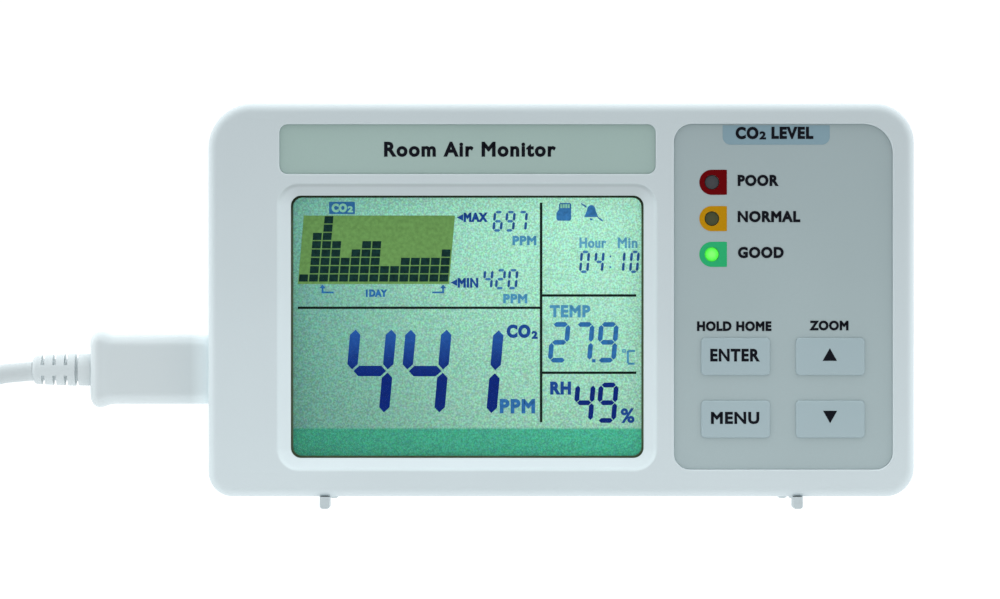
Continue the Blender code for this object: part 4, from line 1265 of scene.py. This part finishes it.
def climate(word_ink, temperature_ink, humidity_ink, unit_ink):
    """Temperature and humidity in the right-hand column."""
    display_print("temperature_word", [letters("TEMP", -2.7, 6.75, 44.55, 47.4, 0.18)], word_ink)
    figures = number("279", -3.15, 5.6, 4.6, 34.05, 43.45, 1.1)
    figures.append(bar(7.15, 7.95, 34.1, 34.85))
    unit = [
        bar(15.2, 15.7, 33.9, 36.75),
        bar(15.45, 17.0, 33.55, 34.05),
        bar(15.55, 17.1, 36.5, 37.0),
        *border(14.15, 14.95, 36.35, 37.15, 0.25),
    ]
    display_print("temperature", [polygons(figures)], temperature_ink)
    display_print("temperature_unit", [polygons(unit)], word_ink)
    figures = number("49", 2.62, 5.38, 4.65, 20.05, 29.4, 1.12)
    display_print("humidity", [polygons(figures)], humidity_ink)
    units = [
        letters("RH", -2.6, 2.25, 26.6, 29.65, 0.22),
        letters("%", 13.8, 17.0, 20.0, 23.45, 0.15),
    ]
    display_print("humidity_units", units, unit_ink)


def icons(icon_ink, badge_ink, detail_ink):
    """Gas badge, memory card and muted bell."""
    badge = outline((-53.95, 68.55), (-47.95, 71.4), (0.2,) * 4)
    card = [
        (-1.15, 67.4),
        (-0.8, 67.0),
        (1.95, 67.0),
        (2.3, 67.35),
        (2.3, 70.8),
        (2.0, 71.15),
        (-0.25, 71.15),
        (-0.55, 70.8),
        (-0.55, 69.6),
        (-0.95, 69.1),
        (-1.15, 68.7),
    ]
    bell = [(5.3, 67.85)]
    for i in range(9):
        angle = math.radians(180 - 22.5 * i)
        bell.append((6.95 + 1.0 * math.cos(angle), 69.4 + 1.25 * math.sin(angle)))
    bell.append((8.6, 67.85))
    extras = [
        [(4.55, 71.15), (4.7, 70.75), (5.85, 69.95), (5.85, 70.4)],
        [(8.35, 68.0), (8.45, 67.6), (9.6, 66.75), (9.6, 67.2)],
        bar(6.65, 7.25, 67.1, 67.55),
    ]
    display_print("icons", [polygons([card, bell, *extras])], icon_ink)
    display_print("gas_badge", [polygons([badge])], badge_ink)
    contacts = [bar(-0.25 + 0.58 * i, 0.2 + 0.58 * i, 69.95, 70.85) for i in range(4)]
    words = [
        letters("CO", -53.35, -49.8, 68.95, 71.0, 0.17),
        letters("2", -49.65, -48.4, 68.95, 70.4, 0.12),
    ]
    display_print("icon_details", [polygons(contacts), *words], detail_ink, layer=2)


# ----------------------------------------------- feet, card, plugs and lead


def feet(material):
    """Thin bars with a soft-edged pad at each end, each on a flanged neck."""
    for name, body in (("foot_left", "left_foot"), ("foot_right", "right_foot")):
        low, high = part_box(name)
        x = (low.x + high.x) / 2
        pads = []
        for start in (low.y, high.y - FOOT_PAD):
            rings = [foot_ring(x, start + along * MM, share) for along, share in FOOT_SECTIONS]
            pads.append(loft(rings))
        bridge = slab(
            (x - 0.85 * MM, low.y + 1 * MM, FOOT_BRIDGE), (x + 0.85 * MM, high.y - 1 * MM, 2.8 * MM)
        )
        neck = drum(1.15 * MM, (x, FOOT_PIVOT_Y, FOOT_BRIDGE), (x, FOOT_PIVOT_Y, 5.9 * MM))
        flange = drum(3.5 * MM, (x, FOOT_PIVOT_Y, 5.5 * MM), (x, FOOT_PIVOT_Y, 7.0 * MM), 32)
        mesh = join(pads[0], [pads[1], bridge, neck, flange])
        piece(f"{name}_bar", mesh, material, body, [name])


def foot_ring(x, y, share):
    """A foot pad's section: flat above, rounded below, smaller near the pad's ends."""
    half = FOOT_HALF_WIDTH * (0.6 + 0.4 * share)
    bottom = 0.3 * MM * (1 - share)
    points = [(x + half, y, FOOT_TOP), (x - half, y, FOOT_TOP)]
    for side, start in ((-1, 180), (1, 270)):
        for i in range(5):
            angle = math.radians(start + 22.5 * i)
            across = side * (half - FOOT_ROUNDING) + FOOT_ROUNDING * math.cos(angle)
            up = bottom + FOOT_ROUNDING * (1 + math.sin(angle))
            points.append((x + across, y, up))
    return points


def memory_card(material):
    """A thin card with one cut corner, a notch and a raised grip at its outer end."""
    low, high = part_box("memory_card")
    cut_corner, notch = 2.2 * MM, 0.6 * MM
    profile = (
        (low.x + cut_corner, high.z),
        (low.x, high.z - cut_corner),
        (low.x, low.z),
        (high.x - 6 * MM, low.z),
        (high.x - 5.4 * MM, low.z + notch),
        (high.x - 4.4 * MM, low.z + notch),
        (high.x - 3.8 * MM, low.z),
        (high.x, low.z),
        (high.x, high.z),
    )
    body = loft([at_depth(profile, low.y + 0.15 * MM), at_depth(profile, high.y)])
    grip = slab(
        (high.x - 1.4 * MM, low.y, low.z + 0.8 * MM),
        (high.x - 0.5 * MM, low.y + 0.4 * MM, high.z - 0.8 * MM),
    )
    mesh = join(body, [grip])
    piece("memory_card_body", mesh, material, CARD, ["memory_card"])


def plug_moulding(material):
    """The near plug: a soft-cornered body that flares towards the lead."""
    mesh = loft(across_sections(PLUG_SECTIONS, *PLUG_AXIS))
    piece("plug_moulding", mesh, material, POWER_LEAD, ["power_plug"])


def relief_sleeve(material):
    """The slotted strain relief: three pairs of slots, one full groove and a collar."""
    y = PLUG_AXIS.x
    axis_z = PLUG_AXIS.y - RELIEF_DROP
    start = Vector((RELIEF_START, y, axis_z))
    profile = [(3.5, -0.32), (3.75, 0.25), (3.75, 2.4), (3.65, 2.7), (2.7, 2.75), (2.7, 3.4)]
    profile += [(3.75, 3.45), (3.8, 3.8), (3.4, 12.5), (3.2, 13.0), (2.4, 13.55)]
    sleeve = lathe(in_mm(profile), start, (-1, 0, 0), 40)
    steps = []
    for groove in (11.0, 8.3, 5.6):
        x = start.x - groove * MM
        for low_z, high_z in ((1.15, 5), (-5, -1.35)):
            slot = slab(
                (x - 0.4 * MM, y - 5 * MM, axis_z + low_z * MM),
                (x + 0.4 * MM, y + 5 * MM, axis_z + high_z * MM),
            )
            steps.append(("DIFFERENCE", slot))
    core = lathe(in_mm(((2.5, 0.5), (2.5, 13.2))), start, (-1, 0, 0), 32)
    steps.append(("UNION", core))
    mesh = carved(sleeve, steps)
    piece("relief_sleeve", mesh, material, POWER_LEAD, ["strain_relief"])


def lead_tie(material):
    """A thin band round the coil's bundle, with rounded edges and corners."""
    half = 6.45 * MM
    thickness = 0.45 * MM
    centre = Vector((COIL_CENTRE.x + COIL_RADIUS, COIL_CENTRE.z))

    def ring(reach, radius, y):
        corner = Vector((reach, reach))
        return at_depth(outline(centre - corner, centre + corner, (radius,) * 4, steps=8), y)

    rings = []
    for share, shrink in ((-1, 0.15), (-0.9, 0), (0.9, 0), (1, 0.15)):
        reach = half + thickness - shrink * MM
        rings.append(ring(reach, 3.0 * MM, COIL_CENTRE.y + share * 3.0 * MM))
    way = loft([ring(half, 2.6 * MM, COIL_CENTRE.y + side * 4 * MM) for side in (-1, 1)])
    mesh = cut(loft(rings), [way])
    piece("lead_tie", mesh, material, POWER_LEAD, ["coil_tie"])


def end_plug(material):
    """The far plug: a soft-cornered body with grip ribs and a tapered boot."""
    low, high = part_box("far_plug")
    y, z = (low.y + high.y) / 2, END_PLUG_Z
    ribs = []
    for i in range(4):
        x = (-180 + 2.2 * i) * MM
        ribs.append(slab((x, y - 9 * MM, z + 3.7 * MM), (x + 0.8 * MM, y + 9 * MM, z + 5 * MM)))
    mesh = cut(loft(across_sections(END_PLUG_SECTIONS, y, z, swap=True)), ribs)
    piece("end_plug_moulding", mesh, material, POWER_LEAD, ["far_plug"])


def cell_offset(travelled):
    """Steps outwards and upwards in the bundle after so many turns."""
    out, up = COIL_CELLS[0]
    for k in range(1, len(COIL_CELLS)):
        crossing = k - 0.25 - CROSSING_STAGGER * (k - (len(COIL_CELLS) / 2))
        share = (travelled - crossing + CROSSING_HALF) / (2 * CROSSING_HALF)
        share = min(1, max(0, share))
        eased = (1 - math.cos(math.pi * share)) / 2
        out += (COIL_CELLS[k][0] - COIL_CELLS[k - 1][0]) * eased
        up += (COIL_CELLS[k][1] - COIL_CELLS[k - 1][1]) * eased
    return out, up


def coil_points():
    """Nine turns, wound clockwise seen from above, from the coil's front."""
    points = []
    for i in range(len(COIL_CELLS) * POINTS_PER_TURN + 1):
        travelled = i / POINTS_PER_TURN
        angle = math.radians(-90 - 360 * travelled)
        from_tie = math.degrees(math.acos(math.cos(angle)))
        squeeze = 1 - TIE_SQUEEZE * math.exp(-((from_tie / 14) ** 2))
        out, up = cell_offset(travelled)
        radius = COIL_RADIUS + out * STRAND_PITCH * squeeze
        height = up * STRAND_PITCH * squeeze
        offset = Vector((radius * math.cos(angle), radius * math.sin(angle), height))
        points.append(COIL_CENTRE + offset)
    return points


def power_lead(material):
    points = points_in_mm(LEAD_ROUTE) + coil_points() + points_in_mm(TAIL_ROUTE)
    curve = bpy.data.curves.new("power_lead_cord", "CURVE")
    curve.dimensions = "3D"
    curve.bevel_depth = LEAD_DIAMETER / 2
    curve.bevel_resolution = 6
    curve.resolution_u = 6
    curve.use_fill_caps = True
    spline = curve.splines.new("BEZIER")
    spline.bezier_points.add(len(points) - 1)
    for knot, co in zip(spline.bezier_points, points):
        knot.co = co
        knot.handle_left_type = "AUTO"
        knot.handle_right_type = "AUTO"
    curve.materials.append(material)
    cord = bpy.data.objects.new("power_lead_cord", curve)
    scene.collection.objects.link(cord)
    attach(cord, POWER_LEAD)
    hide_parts("lead_cord", "lead_coil", "lead_tail")
    return cord


# ------------------------------------------- carried-over frame and studio


def dress_frame(rubber, steel, dark):
    """Procedural materials for the CAD nodes that stay as they are."""
    gold = brushed("gold", (0.85, 0.65, 0.3, 1), 0.28)
    board = circuit_board("board_green")
    white = moulded("white_board", colour(226, 226, 220), 0.55)
    paper = moulded("label_paper", colour(222, 222, 216), 0.6, grain=0.5 * MM)
    clear = moulded("lamp_clear", colour(225, 230, 226), 0.15)
    finishes = {
        "lcd_glass": display_glass(),
        "display_window": clear_pane(),
        "window_gasket": rubber,
        "contact_strip_lower": rubber,
        "contact_strip_upper": rubber,
        "backlight_panel": white,
        "lcd_frame": white,
        "climate_sensor": white,
        "rating_label": paper,
        "main_board": board,
        "gas_sensor_board": board,
        "gas_sensor_tube": gold,
        "gas_sensor_lamp": clear,
    }
    dark_nodes = ("microcontroller", "sounder", "battery_holder", "gas_sensor_header")
    for name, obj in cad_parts.items():
        finish = finishes.get(name)
        if finish is None:
            finish = dark if name in dark_nodes or name.startswith("switch_") else steel
        obj.data.materials.clear()
        obj.data.materials.append(finish)


def sky():
    """A white sky: dim on the camera's side, bright above and at both sides."""
    world = bpy.data.worlds.new("studio")
    scene.world = world
    world.use_nodes = True
    tree = world.node_tree
    background = tree.nodes["Background"]
    background.inputs["Color"].default_value = SKY_COLOUR
    direction = tree.nodes.new("ShaderNodeTexCoord").outputs["Generated"]
    forward = component(tree, direction, "Y")
    strength = ramp(tree, forward, -1.0, 0.0, SKY_AHEAD, SKY_AROUND, soft=True)
    for letter, start, end, most in (
        ("Z", 0.3, 1.0, SKY_ABOVE),
        ("X", -0.5, -1.0, SKY_SIDES),
        ("X", 0.5, 1.0, SKY_SIDES),
    ):
        extra = ramp(tree, component(tree, direction, letter), start, end, 0.0, most)
        strength = combined(tree, "ADD", strength, extra)
    tree.links.new(strength, background.inputs["Strength"])


def floor():
    """A pale floor whose glow fades some way in front of the object."""
    bm = bmesh.new()
    bmesh.ops.create_grid(bm, x_segments=1, y_segments=1, size=3)
    mesh = bpy.data.meshes.new("floor")
    bm.to_mesh(mesh)
    bm.free()
    material, tree, shader, where = new_material("floor_pale", 0.9, specular=0.0)
    fine = noise(tree, where, 5 * MM).outputs["Fac"]
    tone = mixed(tree, fine, (0.09, 0.09, 0.09, 1), (0.11, 0.11, 0.11, 1))
    painted(tree, shader, tone)
    shader.inputs["Emission Color"].default_value = SKY_COLOUR
    back = component(tree, where, "Y")
    glow = ramp(tree, back, -0.75, -0.32, FLOOR_FAR, FLOOR_NEAR, soft=True)
    tree.links.new(glow, shader.inputs["Emission Strength"])
    mesh.materials.append(material)
    obj = bpy.data.objects.new("floor", mesh)
    scene.collection.objects.link(obj)


# ------------------------------------------------------------------ build

make_camera()
# The lead's plastic, with painted highlights on the near plug's edges and painted light at its end
# by the case
lead_plastic = moulded(
    "lead_plastic", colour(207, 215, 217), 0.5, mottle=0.015, bump=0.08, shades=(plug_light_and_cord_tone,)
)
lead_curve = power_lead(lead_plastic)

# The case's plastic, with painted light and shade: a gradient across the case, and on the dish's
# slopes and rounded edges
case_plastic = moulded(
    "case_plastic", colour(201, 211, 214), 0.42, mottle=0.015, bump=0.06, shades=(painted_light_gradient, painted_dish_light)
)
# Smooth films and keys, with the case's painted light and shade gradient
smooth = {"mottle": 0.02, "bump": 0.05, "shades": (painted_light_gradient,)}
name_film = moulded("name_film", colour(162, 184, 178), 0.5, **smooth)
panel_grey = moulded("panel_grey", colour(163, 178, 180), 0.5, **smooth)
key_grey = moulded("key_grey", colour(161, 179, 184), 0.45, **smooth)
gasket_rubber = moulded(
    "gasket_rubber", colour(88, 104, 78), 0.8, specular=0.2, shades=(shaded_above,)
)
print_black = moulded("print_black", colour(10, 12, 22), 0.6, mottle=0.1, specular=0.1)
tab_blue = moulded("tab_blue", colour(131, 157, 168), 0.6, mottle=0.03, specular=0.1)
tie_black = moulded("tie_black", colour(30, 31, 33), 0.85, grain=0.5 * MM, bump=0.6)
# The feet's plastic, painted darker than the case's: painted shade, for the shade under the case
foot_shaded_plastic = moulded("foot_shaded_plastic", colour(192, 202, 205), 0.5, mottle=0.03)
steel = brushed("steel", (0.62, 0.62, 0.64, 1))
dark_plastic = moulded("dark_plastic", colour(36, 37, 40), 0.5)

front_shell(case_plastic)
rear_shell(case_plastic)
case_screws(steel)
nameplate(name_film)
key_panel(panel_grey)
key_caps(key_grey)
lamp_looks = {
    "poor": ("lamp_off_grey", colour(58, 60, 63), colour(66, 67, 70), 0),
    "normal": ("lamp_off_olive", colour(64, 68, 40), colour(72, 74, 48), 0),
    "good": ("lamp_lit", colour(60, 205, 50), colour(110, 225, 95), 0.6),
}
lamps({lamp: lamp_material(*look, LAMPS[lamp]) for lamp, look in lamp_looks.items()})
feet(foot_shaded_plastic)
memory_card(dark_plastic)
plug_moulding(lead_plastic)
relief_sleeve(lead_plastic)
lead_tie(tie_black)
end_plug(lead_plastic)
dress_frame(gasket_rubber, steel, dark_plastic)

panel_print(print_black, tab_blue)
badge_looks = {
    "poor": ("badge_red", colour(102, 0, 5)),
    "normal": ("badge_amber", colour(186, 134, 8)),
    "good": ("badge_green", colour(46, 174, 112)),
}
badge_paints = {
    lamp: moulded(*look, 0.7, mottle=0.06, specular=0.05) for lamp, look in badge_looks.items()
}
lamp_badges(badge_paints)
label_print(print_black)

ink_black = display_ink("ink_black", colour(24, 36, 32), glow=0.0)
ink_digits = display_ink("ink_digits", colour(10, 36, 116), colour(40, 90, 166))
ink_navy = display_ink("ink_navy", colour(32, 72, 146), variety=0.15)
ink_slate = display_ink("ink_slate", colour(44, 86, 148), variety=0.25)
ink_pale = display_ink("ink_pale", colour(66, 122, 174), variety=0.2)
ink_light = display_ink("ink_light", colour(78, 148, 186), variety=0.15)
ink_word = display_ink("ink_word", colour(96, 166, 198), variety=0.15)
ink_icon = display_ink("ink_icon", colour(58, 120, 178), variety=0.2)
ink_mid = display_ink("ink_mid", colour(48, 108, 168), variety=0.2)
ink_badge = display_ink("ink_badge", colour(52, 112, 166), variety=0.15)
ink_olive = display_ink("ink_olive", colour(108, 152, 84), variety=0.12)
ink_bars = display_ink("ink_bars", colour(22, 54, 51), glow=0.0, variety=0.3)
ink_faint = display_ink("ink_faint", colour(140, 205, 178))
graph(ink_olive, ink_bars, ink_mid)
display_lines(ink_black)
main_reading(ink_digits, ink_navy, ink_mid)
extremes(ink_navy, ink_slate, ink_pale, ink_light)
clock(ink_word, ink_slate, ink_pale)
climate(ink_light, ink_mid, ink_digits, ink_navy)
icons(ink_icon, ink_badge, ink_faint)

sky()
floor()
